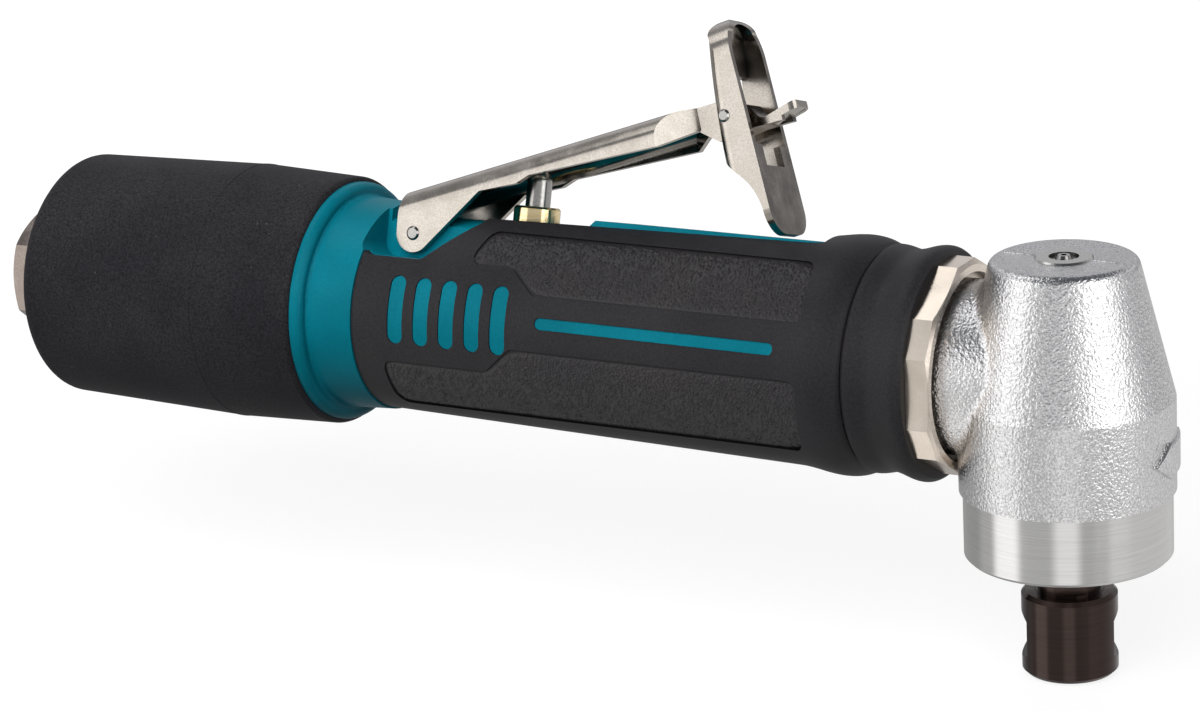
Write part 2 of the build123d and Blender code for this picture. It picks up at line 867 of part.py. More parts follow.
def housing_hollows():
    """Motor bore, air passages, valve bore, pivot hole and exhaust passages."""
    motor = tube_x(motor_floor, 0, motor_bore_radius)
    passage = tube_x(stub_rear, valve_place, air_passage_radius)
    socket_depth = inlet_thread_length - silencer_wall - gasket_thickness + socket_spare
    socket = tube_x(stub_rear, stub_rear + socket_depth, inlet_thread_radius + slip)
    valve = Pos(valve_place, 0, 0) * tube_z(valve_bore_floor, 2 * lip_radius, valve_bore_radius)
    feed_height = valve_bushing_foot + valve_port_rise
    feed = Pos(0, 0, feed_height) * tube_x(valve_place, motor_floor, feed_radius)
    pivot = Pos(pivot_place, 0, pivot_height) * Rot(90, 0, 0) * Cylinder(pivot_pin_radius + slip, 4 * lip_radius)
    hollow = motor + passage + socket + valve + feed + pivot
    for index in range(exhaust_hole_count):
        angle = -90 + exhaust_hole_spread * (index / (exhaust_hole_count - 1) - 0.5)
        turn = math.radians(angle)
        hole = tube_x(silencer_front - seat_length, motor_floor, exhaust_hole_radius)
        shift = Pos(0, exhaust_hole_circle * math.cos(turn), exhaust_hole_circle * math.sin(turn))
        hollow += shift * hole
    return hollow


def silencer_cover():
    wall = silencer_wall
    body = turned_x([
        (silencer_rear, 0),
        (silencer_rear, silencer_rear_radius),
        (silencer_kink, silencer_kink_radius),
        (silencer_front, silencer_front_radius),
        (silencer_front, seat_radius + slip),
        (silencer_front - seat_length, seat_radius + slip),
        (silencer_kink, silencer_kink_radius - wall),
        (stub_rear, silencer_rear_radius - wall),
        (stub_rear, 0),
    ])
    body = fillet(rim(body, silencer_rear_radius, silencer_rear, "X"), silencer_edge_round)
    body = fillet(rim(body, silencer_front_radius, silencer_front, "X"), silencer_front_round)
    body -= tube_x(silencer_rear, stub_rear, inlet_thread_radius + clear)
    for index in range(outlet_count):
        turn = 2 * math.pi * index / outlet_count
        hole = tube_x(silencer_rear, stub_rear, outlet_radius)
        body -= Pos(0, outlet_circle * math.cos(turn), outlet_circle * math.sin(turn)) * hole
    return body


def silencer_felt():
    wall = silencer_wall + slip
    return turned_x([
        (stub_rear, stub_radius + slip),
        (silencer_kink, stub_radius + slip),
        (silencer_kink, silencer_kink_radius - wall),
        (stub_rear, silencer_rear_radius - wall),
    ])


def inlet_gasket():
    return tube_x(hex_front, silencer_rear, inlet_hex_flats / 2, inlet_thread_radius + slip)


def inlet_bushing():
    body = hexagon_x(hex_rear, hex_front, inlet_hex_flats, inlet_hex_clocking)
    corner_cut = turned_x([
        (hex_rear, 0),
        (hex_rear, inlet_face_radius),
        (hex_rear + inlet_chamfer_run, inlet_face_radius + inlet_chamfer_rise),
        (hex_front, inlet_face_radius + inlet_chamfer_rise),
        (hex_front, 0),
    ])
    body &= corner_cut
    body += tube_x(hex_front, hex_front + inlet_thread_length, inlet_thread_radius)
    bore_end = hex_rear + inlet_bore_length
    body -= tube_x(hex_rear, bore_end, inlet_bore_radius)
    body -= tube_x(bore_end, bore_end + screen_thickness + 2 * slip, screen_radius + slip)
    return body - tube_x(hex_rear, hex_front + inlet_thread_length, inlet_passage_radius)


def inlet_screen():
    start = hex_rear + inlet_bore_length + slip
    end = start + screen_thickness
    disc = tube_x(start, end, screen_radius)
    holes = []
    reach = inlet_passage_radius - screen_hole_radius
    steps = int(reach / screen_hole_pitch)
    for row in range(-steps, steps + 1):
        for column in range(-steps, steps + 1):
            place = (row * screen_hole_pitch, column * screen_hole_pitch)
            if math.hypot(*place) < reach:
                holes.append(Pos(0, *place) * tube_x(start, end, screen_hole_radius))
    return disc - holes


# Lever, lock tab and throttle valve, in the handle frame
def tangent_point(point, radius, side):
    """Where a line from a point touches a circle round the pivot."""
    angle = math.atan2(point[1], point[0]) + side * math.acos(radius / math.hypot(*point))
    return (radius * math.cos(angle), radius * math.sin(angle))


def cross_hole(place, height, radius):
    return Pos(place, 0, height) * Rot(90, 0, 0) * Cylinder(radius, 4 * lever_half_width)


def throttle_lever():
    rear_top = (-lever_rear_overhang, lever_top)
    ear_front = (lever_ear_reach, lever_top - lever_ear_depth)
    outline = make_face(Polyline(
        rear_top,
        (lever_length, lever_top),
        (lever_length, lever_top - lever_nose_depth),
        (lever_length - lever_nose_run, lever_top - lever_front_depth),
        (lever_step_place + lever_step_half, lever_top - lever_step_front_depth),
        (lever_step_place - lever_step_half, lever_top - lever_step_rear_depth),
        ear_front,
        tangent_point(ear_front, lever_ear_radius, -1),
        tangent_point(rear_top, lever_ear_radius, 1),
        close=True,
    ))
    outline += Circle(lever_ear_radius)
    channel = extrude(Plane.XZ * outline, lever_half_width, both=True)
    top_edges = channel.edges().filter_by(Axis.X).group_by(Axis.Z)[-1]
    channel = fillet(top_edges, lever_bend)
    inner_half = lever_half_width - lever_sheet
    hollow = box_between((-far, -inner_half, -far), (far, inner_half, lever_top - lever_sheet))
    inner_edges = hollow.edges().filter_by(Axis.X).group_by(Axis.Z)[-1]
    hollow = fillet(inner_edges, lever_bend - lever_sheet)
    channel &= lever_plan(0)
    channel -= hollow & lever_plan(lever_sheet)
    lever = channel + lever_neck()
    lever -= cross_hole(0, 0, pivot_pin_radius + running)
    lever -= cross_hole(lock_pin_reach, lock_pin_height, lock_pin_radius + slip / 2)
    return lever_frame * lever


def lever_plan(margin):
    """Lever seen from above, drawn in by a margin and carried through it: it tapers to the neck."""
    wide = lever_half_width - margin
    narrow = lever_neck_half_width - margin
    rear = -far
    taper = lever_length - lever_taper
    return extrude(make_face(Polyline(
        (rear, -wide),
        (taper, -wide),
        (lever_length, -narrow),
        (lever_length, narrow),
        (taper, wide),
        (rear, wide),
        close=True,
    )), far, both=True)


def lever_neck():
    """Narrow channel that carries the lock pin and ends in an upturned tongue."""
    pin = lock_pin_reach
    wall = lever_neck_wall
    foot = lever_top - lever_neck_depth
    root = lever_length - lever_taper + neck_root
    shoulder = (pin + tongue_shoulder_reach, lever_top - tongue_shoulder_drop)
    dip = (pin + tongue_dip_reach, lever_top - tongue_dip_drop)
    tip = (pin + tongue_tip_reach, lever_top - tongue_tip_drop)
    bar = pin + tongue_bar_reach
    rise = (tip[1] - dip[1]) / (tip[0] - dip[0])
    under_bar = dip[1] + (bar - dip[0]) * rise - wall
    outline = make_face(Polyline(
        (root, lever_top),
        (pin + tongue_start, lever_top),
        shoulder,
        dip,
        tip,
        (tip[0] + wall * rise, tip[1] - wall),
        (bar, under_bar),
        (bar, lever_top - tongue_bar_drop),
        (pin + neck_foot_front, foot + neck_foot_rise),
        (pin - neck_foot_rear, foot),
        (pin - neck_foot_rear - neck_slope_run, foot + neck_slope_rise),
        (root, lever_top - lever_sheet),
        close=True,
    ))
    bends = []
    for corner in outline.vertices():
        if math.dist((corner.X, corner.Y), shoulder) < slip or math.dist((corner.X, corner.Y), dip) < slip:
            bends.append(corner)
    outline = fillet(bends, tongue_bend)
    neck = extrude(Plane.XZ * outline, lever_neck_half_width, both=True)
    plan = box_between((root, -lever_neck_half_width, -far), (tip[0] + wall * rise, lever_neck_half_width, far))
    neck &= fillet(plan.edges().filter_by(Axis.Z).group_by(Axis.X)[-1], tongue_tip_round)
    inner_half = lever_neck_half_width - wall
    neck -= side_prism([
        (root - neck_root, lever_top - wall),
        (pin + tongue_start, lever_top - wall),
        (shoulder[0] - wall, shoulder[1] - wall),
        (shoulder[0] - wall, -far),
        (root - neck_root, -far),
    ], inner_half)
    return neck - side_prism([
        (dip[0], dip[1] - wall),
        (tip[0], tip[1] - wall),
        (tip[0], -far),
        (dip[0], -far),
    ], inner_half)


def lock_tab():
    low = -tab_below_pin
    plate = tab_front - tab_wall
    crown_front = (tab_front, tab_above_pin - tab_crown_drop)
    crown_rear = (tab_crown_back, tab_above_pin - tab_crown_drop)
    hip = (-tab_hip_back, -tab_hip_drop)
    toe_start = (plate, -tab_toe_drop)
    front = Line((tab_front, low), crown_front)
    crown = ThreePointArc(crown_front, (tab_front - tab_crown_top, tab_above_pin), crown_rear)
    back = Spline(crown_rear, (-tab_middle_back, tab_middle_rise), hip)
    waist = Spline(hip, (tab_waist_front, -tab_waist_drop), toe_start, tangents=[(0.6, -1), (0.1, -1)])
    toe = Polyline(toe_start, (plate, low), (tab_front, low))
    body = extrude(Plane.XZ * make_face(front + crown + back + waist + toe), tab_half_width, both=True)
    back_edges = body.edges().filter_by(GeomType.BSPLINE).group_by(Axis.Z)[-1]
    body = fillet(back_edges, tab_back_round)
    body &= tab_front_view(tab_half_width, low, tab_above_pin, tab_toe_round)
    inner_half = tab_half_width - tab_wall
    inner_top = tab_above_pin - tab_wall
    dish = side_prism([
        (far, inner_top),
        (tab_front - tab_wall, inner_top),
        (tab_crown_back + tab_wall, tab_above_pin - tab_crown_drop - tab_wall),
        (tab_wall - tab_middle_back, tab_middle_rise),
        (tab_wall - tab_hip_back, -tab_window),
        (far, -tab_window),
    ], inner_half)
    body -= dish & tab_front_view(inner_half, low, inner_top, tab_toe_round)
    body -= box_between((-far, -inner_half, -tab_slot_floor), (tab_slot_front, inner_half, tab_slot_top))
    body -= box_between((-far, -inner_half, -tab_pocket_drop), (plate, inner_half, slip - tab_window))
    notch_half = lever_neck_half_width + 2 * clear
    notch_floor = -tab_window - tab_notch
    body -= box_between((0, -notch_half, notch_floor), (far, notch_half, slip - tab_window))
    body -= cross_hole(0, 0, lock_pin_radius + running)
    return tab_frame * body


def tab_front_view(half_width, low, high, toe_round):
    """Outline of the tab seen from the front, carried through it: round head, rounded toe."""
    height = high - low
    face = Pos(0, (low + high) / 2) * Rectangle(2 * half_width, height)
    corners = face.vertices().sort_by(Axis.Y)
    face = fillet(corners[2:], half_width - slip)
    corners = face.vertices().sort_by(Axis.Y)
    face = fillet(corners[:2], toe_round)
    return extrude(Plane.YZ * face, far, both=True)


def lock_pin():
    pin = Cylinder(lock_pin_radius, 2 * (tab_half_width + clear))
    pin = chamfer(pin.edges().filter_by(GeomType.CIRCLE), clear)
    return lever_frame * Pos(lock_pin_reach, 0, lock_pin_height) * Rot(90, 0, 0) * pin


def lock_spring():
    """Torsion spring on the lock pin, beside the lever's neck, with two short legs."""
    coil = coil_path(lock_coil_radius, lock_coil_pitch, lock_coil_turns)
    start = helix_point(lock_coil_radius, lock_coil_pitch, 0)
    start_dir = helix_tangent(lock_coil_radius, lock_coil_pitch, 0)
    last = 2 * math.pi * lock_coil_turns
    end = helix_point(lock_coil_radius, lock_coil_pitch, last)
    end_dir = helix_tangent(lock_coil_radius, lock_coil_pitch, last)
    edges = [Line(start - start_dir * lock_leg, start)] + coil + [Line(end, end + end_dir * lock_leg)]
    wire = wire_along(edges, lock_wire)
    drift = lock_leg * lock_coil_pitch / (2 * math.pi * lock_coil_radius)
    side = lever_neck_half_width + lock_wire / 2 + drift + 2 * running
    print("lock spring least gap", round(coil_gap(lock_coil_radius, lock_coil_pitch, lock_coil_turns, lock_wire), 3))
    place = Pos(lock_pin_reach, -side, lock_pin_height) * Rot(90, 0, 0) * Rot(0, 0, 90)
    return lever_frame * place * wire


def lever_pivot_pin():
    length = 2 * (lever_half_width + clear)
    pin = Pos(pivot_place, 0, pivot_height) * Rot(90, 0, 0) * Cylinder(pivot_pin_radius, length)
    ends = pin.edges().filter_by(GeomType.CIRCLE)
    return chamfer(ends, clear)


def valve_pin_top():
    """Height of the pin's domed top that leaves the stated gap under the lever."""
    slope = math.radians(lever_slope)
    underside = (lever_top - lever_sheet) / math.cos(slope) + pivot_height + valve_arm * math.tan(slope)
    centre = underside - (valve_pin_radius + valve_lever_gap) / math.cos(slope)
    return centre + valve_pin_radius


def valve_pin():
    top = valve_pin_top()
    foot = valve_bushing_foot - clear
    stem = tube_z(foot, top - valve_pin_radius, valve_pin_radius)
    dome = Pos(0, 0, top - valve_pin_radius) * Sphere(valve_pin_radius)
    return Pos(valve_place, 0, 0) * (stem + dome)


def valve_bushing():
    body = tube_z(valve_bushing_foot, valve_bushing_top, valve_bushing_radius, valve_pin_radius + running)
    body = chamfer(rim(body, valve_bushing_radius, valve_bushing_top, "Z"), valve_bushing_edge)
    port_height = valve_bushing_foot + valve_port_rise
    body -= Pos(0, 0, port_height) * Rot(0, 90, 0) * Cylinder(valve_port_radius, 4 * valve_bushing_radius)
    groove = valve_bushing_foot + valve_groove_rise
    half = valve_groove_half
    body -= tube_z(groove - half, groove + half, 2 * valve_bushing_radius, valve_bushing_radius - half)
    return Pos(valve_place, 0, 0) * body


def valve_seal():
    height = valve_bushing_foot + valve_groove_rise
    ring_centre = valve_bushing_radius - valve_groove_half + valve_seal_wire / 2 + slip
    return Pos(valve_place, 0, height) * Torus(ring_centre, valve_seal_wire / 2)


def valve_poppet():
    top = valve_bushing_foot - clear
    disc = tube_z(top - poppet_thickness, top, poppet_radius)
    disc = chamfer(rim(disc, poppet_radius, top - poppet_thickness, "Z"), poppet_edge)
    guide_foot = top - poppet_thickness - poppet_guide_length
    guide = tube_z(guide_foot, top - poppet_thickness, valve_coil_radius - valve_wire - clear)
    groove = top - poppet_thickness / 2
    body = disc + guide
    seat = Pos(0, 0, groove) * Torus(poppet_radius, poppet_seal_wire / 2 + slip)
    return Pos(valve_place, 0, 0) * (body - seat)


def poppet_seal():
    height = valve_bushing_foot - clear - poppet_thickness / 2
    return Pos(valve_place, 0, height) * Torus(poppet_radius - slip, poppet_seal_wire / 2)


def valve_spring():
    foot = valve_bore_floor + valve_wire / 2 + slip
    top = valve_bushing_foot - clear - poppet_thickness - valve_wire / 2 - slip
    pitch = (top - foot) / valve_coil_turns
    wire = wire_along(coil_path(valve_coil_radius, pitch, valve_coil_turns), valve_wire)
    print("valve spring least gap", round(coil_gap(valve_coil_radius, pitch, valve_coil_turns, valve_wire), 3))
    return Pos(valve_place, 0, foot) * wire


# Vane motor, in the handle frame
def motor_cylinder():
    sleeve = tube_x(cylinder_rear, front_plate_rear, motor_bore_radius - slip)
    bore = Pos(0, 0, -cylinder_offset) * tube_x(cylinder_rear, front_plate_rear, cylinder_bore_radius)
    sleeve -= bore
    middle = (cylinder_rear + front_plate_rear) / 2
    for step in (-2, -1, 0, 1, 2):
        port = Cylinder(cylinder_port_radius, motor_bore_radius)
        sleeve -= Pos(middle + cylinder_port_pitch * step, 0, -motor_bore_radius) * port
    return sleeve


def rear_end_plate():
    plate = tube_x(motor_floor, cylinder_rear, motor_bore_radius - slip, rear_shaft_radius + 1)
    seat_floor = motor_floor + rear_bearing_width
    plate -= tube_x(motor_floor, seat_floor, rear_bearing_diameter / 2 + slip)
    return plate - plate_ports(motor_floor, cylinder_rear)


def front_end_plate():
    plate = tube_x(front_plate_rear, sleeve_rear, motor_bore_radius - slip, front_shaft_radius + 1)
    plate -= tube_x(sleeve_rear - front_bearing_width, sleeve_rear, front_bearing_diameter / 2 + slip)
    return plate


def plate_ports(start, end):
    """Inlet ports on the upper side of the rear plate."""
    ports = []
    for turn in (60, 90, 120):
        angle = math.radians(turn)
        place = Pos(0, exhaust_hole_circle * math.cos(angle), exhaust_hole_circle * math.sin(angle))
        ports.append(place * tube_x(start, end, plate_port_radius))
    return ports


def rotor():
    rear = cylinder_rear + rotor_end_gap
    front = front_plate_rear - rotor_end_gap
    body = tube_x(rear, front, rotor_radius)
    for place in PolarLocations(rotor_radius, vane_count):
        half = vane_thickness / 2 + slip
        slot = box_between((rear, -half, -vane_depth - slip), (front, half, rotor_radius))
        turn = place.orientation.Z
        body -= Rot(turn, 0, 0) * Pos(0, 0, rotor_radius) * slot
    shaft = tube_x(motor_floor + clear, rear, rear_shaft_radius)
    shaft += tube_x(front, pinion_rear(), front_shaft_radius)
    shaft += tube_x(pinion_rear(), -gear_pitch_radius * face_share, pinion_shaft_radius)
    return body + shaft


def rotor_vanes():
    rear = cylinder_rear + rotor_end_gap
    front = front_plate_rear - rotor_end_gap
    top = -vane_sink
    blank = box_between((rear, -vane_thickness / 2, -vane_depth), (front, vane_thickness / 2, top))
    vanes = []
    for place in PolarLocations(rotor_radius, vane_count):
        vanes.append(Rot(place.orientation.Z, 0, 0) * Pos(0, 0, rotor_radius) * blank)
    return vanes


def pinion_rear():
    return pinion_bearing_front() + slip


def bevel_pinion():
    teeth = Rot(0, -90, 0) * bevel_teeth(pinion_teeth, pinion_pitch_radius, gear_pitch_radius)
    hub = tube_x(pinion_rear(), -gear_pitch_radius, pinion_hub_radius)
    bore = tube_x(pinion_rear(), 0, pinion_shaft_radius + slip)
    return Pos(0, 0, axis_height) * (teeth + hub - bore)


def pinion_screw():
    seat = -gear_pitch_radius * face_share
    head = tube_x(seat, seat + pinion_screw_length, pinion_shaft_radius + pinion_screw_rim)
    socket = extrude(RegularPolygon(pinion_socket_radius, 6), pinion_socket_depth, both=True)
    return head - Pos(seat + pinion_screw_length, 0, 0) * Rot(0, 90, 0) * socket


# Spindle pieces, in the part's own frame
def spindle():
    gear_top = axis_height - pinion_pitch_radius * face_share
    body = tube_z(collet_lip + clear, collet_top, nose_thread_radius)
    body += tube_z(collet_top, cap_bottom + clear, spindle_neck_radius)
    body += tube_z(cap_bottom + clear, bearing_bottom, spindle_collar_radius)
    body += tube_z(bearing_bottom, gear_bottom, spindle_seat_radius)
    body += tube_z(gear_bottom, gear_top, spindle_gear_radius)
    body += tube_z(gear_top, upper_bearing_foot() + upper_bearing_width, spindle_top_radius)
    for side in (-1, 1):
        low = (side * spindle_neck_flats / 2, -spindle_neck_radius, collet_top + clear)
        high = (side * spindle_neck_radius * 2, spindle_neck_radius, cap_bottom - clear)
        corners = [sorted(pair) for pair in zip(low, high)]
        flat = box_between([pair[0] for pair in corners], [pair[1] for pair in corners])
        body -= Rot(0, 0, spindle_clocking) * flat
    return body - tube_z(0, collet_length + collet_insert_spare, collet_insert_radius + slip)


def gear_spacer():
    return tube_z(bearing_top, gear_bottom, spindle_seat_radius + 2, spindle_seat_radius + slip)


def bevel_gear():
    teeth = Rot(180, 0, 0) * Rot(0, 0, 180 / gear_teeth) * bevel_teeth(gear_teeth, gear_pitch_radius, pinion_pitch_radius)
    hub = tube_z(gear_bottom, axis_height - pinion_pitch_radius, gear_hub_radius)
    bore = tube_z(gear_bottom, axis_height, spindle_gear_radius + slip)
    return Pos(0, 0, axis_height) * teeth + hub - bore


def collet_insert():
    top = collet_length + collet_insert_spare - slip
    body = tube_z(0, top, collet_insert_radius, collet_bore_radius)
    for index in range(collet_slit_count // 2):
        slit = Box(4 * collet_insert_radius, collet_slit, collet_length)
        body -= Rot(0, 0, 180 * index / (collet_slit_count // 2)) * slit
    return body


def collet_nut():
    body = tube_z(0, collet_top, collet_radius)
    body = chamfer(rim(body, collet_radius, 0, "Z") + rim(body, collet_radius, collet_top, "Z"), collet_edge)
    depth = collet_flats / 2
    flat = side_prism([
        (depth, collet_flat_bottom),
        (depth, collet_flat_top),
        (collet_radius, collet_flat_top + collet_flat_run),
        (2 * collet_radius, collet_flat_top + collet_flat_run),
        (2 * collet_radius, collet_flat_bottom - collet_flat_lead),
        (collet_radius, collet_flat_bottom - collet_flat_lead),
    ], 2 * collet_radius)
    for side in (0, 180):
        body -= Rot(0, 0, collet_clocking + side) * flat
    body -= tube_z(collet_lip, collet_top, nose_thread_radius + running)
    return body - tube_z(0, collet_lip, collet_insert_radius + running)


# Bearings of both shafts
def rear_bearing():
    return ball_bearing(2 * rear_shaft_radius, rear_bearing_diameter, rear_bearing_width, rear_bearing_balls)


def front_bearing():
    return ball_bearing(2 * front_shaft_radius, front_bearing_diameter, front_bearing_width, front_bearing_balls)


def upper_bearing():
    return ball_bearing(2 * spindle_top_radius, upper_bearing_diameter, upper_bearing_width, upper_bearing_balls)


def lower_bearing():
    return ball_bearing(2 * spindle_seat_radius, lower_bearing_diameter, lower_bearing_width, lower_bearing_balls)


def on_handle_axis(pieces, front):
    """Bearing pieces with their front face at a place on the handle axis."""
    turn = Pos(front, 0, 0) * Rot(0, -90, 0)
    return [turn * piece for piece in pieces]


def bearing_nodes():
    nodes = {}
    places = {
        "rear_bearing": (rear_bearing, motor_floor + rear_bearing_width),
        "front_bearing": (front_bearing, sleeve_rear),
        "pinion_bearing": (front_bearing, pinion_bearing_front()),
    }
    for name, (maker, front) in places.items():
        outer, inner, balls = maker()
        shells = on_handle_axis([outer, inner] + balls, front)
        nodes[name + "_outer_ring"] = handle_frame * shells[0]
        nodes[name + "_inner_ring"] = handle_frame * shells[1]
        nodes[name + "_balls"] = [handle_frame * ball for ball in shells[2:]]
    stacks = {
        "upper_bearing": (upper_bearing, upper_bearing_foot()),
        "lower_bearing": (lower_bearing, bearing_bottom),
    }
    for name, (maker, foot) in stacks.items():
        outer, inner, balls = maker()
        nodes[name + "_outer_ring"] = Pos(0, 0, foot) * outer
        nodes[name + "_inner_ring"] = Pos(0, 0, foot) * inner
        nodes[name + "_balls"] = [Pos(0, 0, foot) * ball for ball in balls]
    return nodes


head_makers = [
    angle_head, bearing_cap, shaft_seal, bearing_retainer, head_plug, grease_fitting, lock_ring,
    spindle, gear_spacer, bevel_gear, bevel_pinion, collet_insert, collet_nut,
]
handle_makers = [
    motor_housing, grip_sleeve, front_collar, silencer_cover, silencer_felt, inlet_gasket,
    inlet_bushing, inlet_screen, throttle_lever, lock_tab, lock_pin, lock_spring, lever_pivot_pin,
    valve_pin, valve_bushing, valve_seal, valve_poppet, poppet_seal, valve_spring,
    motor_cylinder, rear_end_plate, front_end_plate, rotor, rotor_vanes, pinion_screw,
]


def build():
    nodes = {}
    for maker in head_makers:
        nodes[maker.__name__] = maker()
    for maker in handle_makers:
        made = maker()
        if isinstance(made, list):
            nodes[maker.__name__] = [handle_frame * piece for piece in made]
        else:
            nodes[maker.__name__] = handle_frame * made
    nodes.update(bearing_nodes())
    return nodes


os.makedirs("parts", exist_ok=True)
for node_name, shape in build().items():
    solid = Compound(children=shape) if isinstance(shape, list) else shape
    export_step(solid, f"parts/{node_name}.step")
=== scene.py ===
import json
import math

import bpy
from mathutils import Matrix, Vector


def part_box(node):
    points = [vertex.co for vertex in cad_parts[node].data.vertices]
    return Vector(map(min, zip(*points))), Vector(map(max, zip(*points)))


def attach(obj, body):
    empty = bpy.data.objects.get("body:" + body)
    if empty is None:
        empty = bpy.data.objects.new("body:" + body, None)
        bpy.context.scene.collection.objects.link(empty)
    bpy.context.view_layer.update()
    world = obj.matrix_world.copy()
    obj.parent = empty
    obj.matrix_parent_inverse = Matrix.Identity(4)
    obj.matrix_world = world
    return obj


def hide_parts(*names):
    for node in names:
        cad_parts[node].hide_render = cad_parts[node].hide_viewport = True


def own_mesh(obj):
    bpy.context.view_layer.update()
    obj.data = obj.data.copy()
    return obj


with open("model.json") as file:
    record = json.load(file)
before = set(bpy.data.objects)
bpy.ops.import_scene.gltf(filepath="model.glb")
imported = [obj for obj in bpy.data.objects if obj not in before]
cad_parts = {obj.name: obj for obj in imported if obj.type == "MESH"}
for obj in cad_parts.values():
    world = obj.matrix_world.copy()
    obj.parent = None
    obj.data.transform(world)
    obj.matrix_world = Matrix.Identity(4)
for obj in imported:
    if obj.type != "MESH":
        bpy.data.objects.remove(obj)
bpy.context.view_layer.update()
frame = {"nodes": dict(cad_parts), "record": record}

# Air powered right angle die grinder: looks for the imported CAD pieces, in metres, in the CAD's own frame.
mm = 0.001
housing_axis_height = 53.0 * mm
handle_clocking = math.radians(17.0)

# Materials
ring_stretch = 0.02
# Reach and number of rays of the painted shade that darkens the metals' hollows
painted_shade_reach = 12.0 * mm
painted_shade_samples = 8


def linear(hex_colour):
    """A written sRGB colour as linear light with alpha."""
    shares = [int(hex_colour[i:i + 2], 16) / 255 for i in (1, 3, 5)]
    return [v / 12.92 if v <= 0.04045 else ((v + 0.055) / 1.055) ** 2.4 for v in shares] + [1.0]


def per(size_mm):
    """Texture scale whose features are this many millimetres wide."""
    return 1000.0 / size_mm


def fill(tree, node, inputs):
    """Links a node's inputs to other nodes or sets them to constant values."""
    for socket, value in inputs.items():
        if isinstance(value, bpy.types.NodeSocket):
            tree.links.new(value, node.inputs[socket])
        else:
            node.inputs[socket].default_value = value


def add(tree, kind, inputs=None, stops=None, **fields):
    """Adds a shader node with its fields, the stops of its colour ramp and its inputs."""
    made = tree.nodes.new("ShaderNode" + kind)
    for field, value in fields.items():
        setattr(made, field, value)
    if stops:
        elements = made.color_ramp.elements
        while len(elements) < len(stops):
            elements.new(0.5)
        for element, (place, colour) in zip(elements, stops.items()):
            element.position = place
            element.color = linear(colour) if isinstance(colour, str) else colour
    fill(tree, made, inputs or {})
    return made


def start_material(name):
    """A new material: its tree, its shader and its object coordinates."""
    material = bpy.data.materials.new(name)
    material.use_nodes = True
    tree = material.node_tree
    return material, tree, tree.nodes["Principled BSDF"], add(tree, "TexCoord").outputs["Object"]


def moulded_black_acetal():
    # Acetal copolymer from a bead blasted mould: matt black with fine grey mottle and a few pale specks.
    material, tree, shader, place = start_material("moulded_black_acetal")
    mottle = add(tree, "TexNoise", {
        "Vector": place, "Scale": per(0.4), "Detail": 3.0, "Roughness": 0.6}).outputs["Fac"]
    cloud = add(tree, "TexNoise", {"Vector": place, "Scale": per(22.0), "Detail": 2.0}).outputs["Fac"]
    specks = add(tree, "TexNoise", {"Vector": place, "Scale": per(0.7), "Detail": 0.0}).outputs["Fac"]
    grain = add(tree, "ValToRGB", {"Fac": mottle}, {0.34: "#1e1e21", 0.68: "#413f42"}).outputs["Color"]
    depth = add(tree, "ValToRGB", {"Fac": cloud}, {0.35: "#d4d4dc", 0.65: "#ffffff"}).outputs["Color"]
    body = add(tree, "Mix", {0: 1.0, 6: grain, 7: depth}, data_type="RGBA", blend_type="MULTIPLY").outputs[2]
    mark = add(tree, "MapRange", {
        "Value": specks, "From Min": 0.84, "From Max": 0.9, "To Max": 0.3}).outputs[0]
    skin = add(tree, "Mix", {0: mark, 6: body, 7: linear("#8a8783")}, data_type="RGBA").outputs[2]
    rough = add(tree, "MapRange", {"Value": mottle, "To Min": 0.5, "To Max": 0.68}).outputs[0]
    bump = add(tree, "Bump", {"Height": mottle, "Strength": 0.7, "Distance": 0.04 * mm}).outputs["Normal"]
    fill(tree, shader, {
        "Base Color": skin, "Roughness": rough, "Normal": bump, "IOR": 1.48, "Specular IOR Level": 0.12})
    return material


def satin_teal_nylon():
    # Glass filled nylon from a fine spark eroded mould: even teal, satin, with a very light grain.
    material, tree, shader, place = start_material("satin_teal_nylon")
    grain = add(tree, "TexNoise", {"Vector": place, "Scale": per(0.5), "Detail": 2.0}).outputs["Fac"]
    cloud = add(tree, "TexNoise", {"Vector": place, "Scale": per(14.0), "Detail": 2.0}).outputs["Fac"]
    colour = add(tree, "ValToRGB", {"Fac": cloud}, {0.3: "#058092", 0.7: "#0b8fa3"}).outputs["Color"]
    flecks = add(tree, "ValToRGB", {"Fac": grain}, {0.3: "#e4eef0", 0.75: "#ffffff"}).outputs["Color"]
    body = add(tree, "Mix", {
        0: 1.0, 6: colour, 7: flecks}, data_type="RGBA", blend_type="MULTIPLY").outputs[2]
    rough = add(tree, "MapRange", {"Value": grain, "To Min": 0.3, "To Max": 0.46}).outputs[0]
    bump = add(tree, "Bump", {"Height": grain, "Strength": 0.35, "Distance": 0.02 * mm}).outputs["Normal"]
    fill(tree, shader, {
        "Base Color": body, "Roughness": rough, "Normal": bump, "IOR": 1.53, "Specular IOR Level": 0.06})
    return material


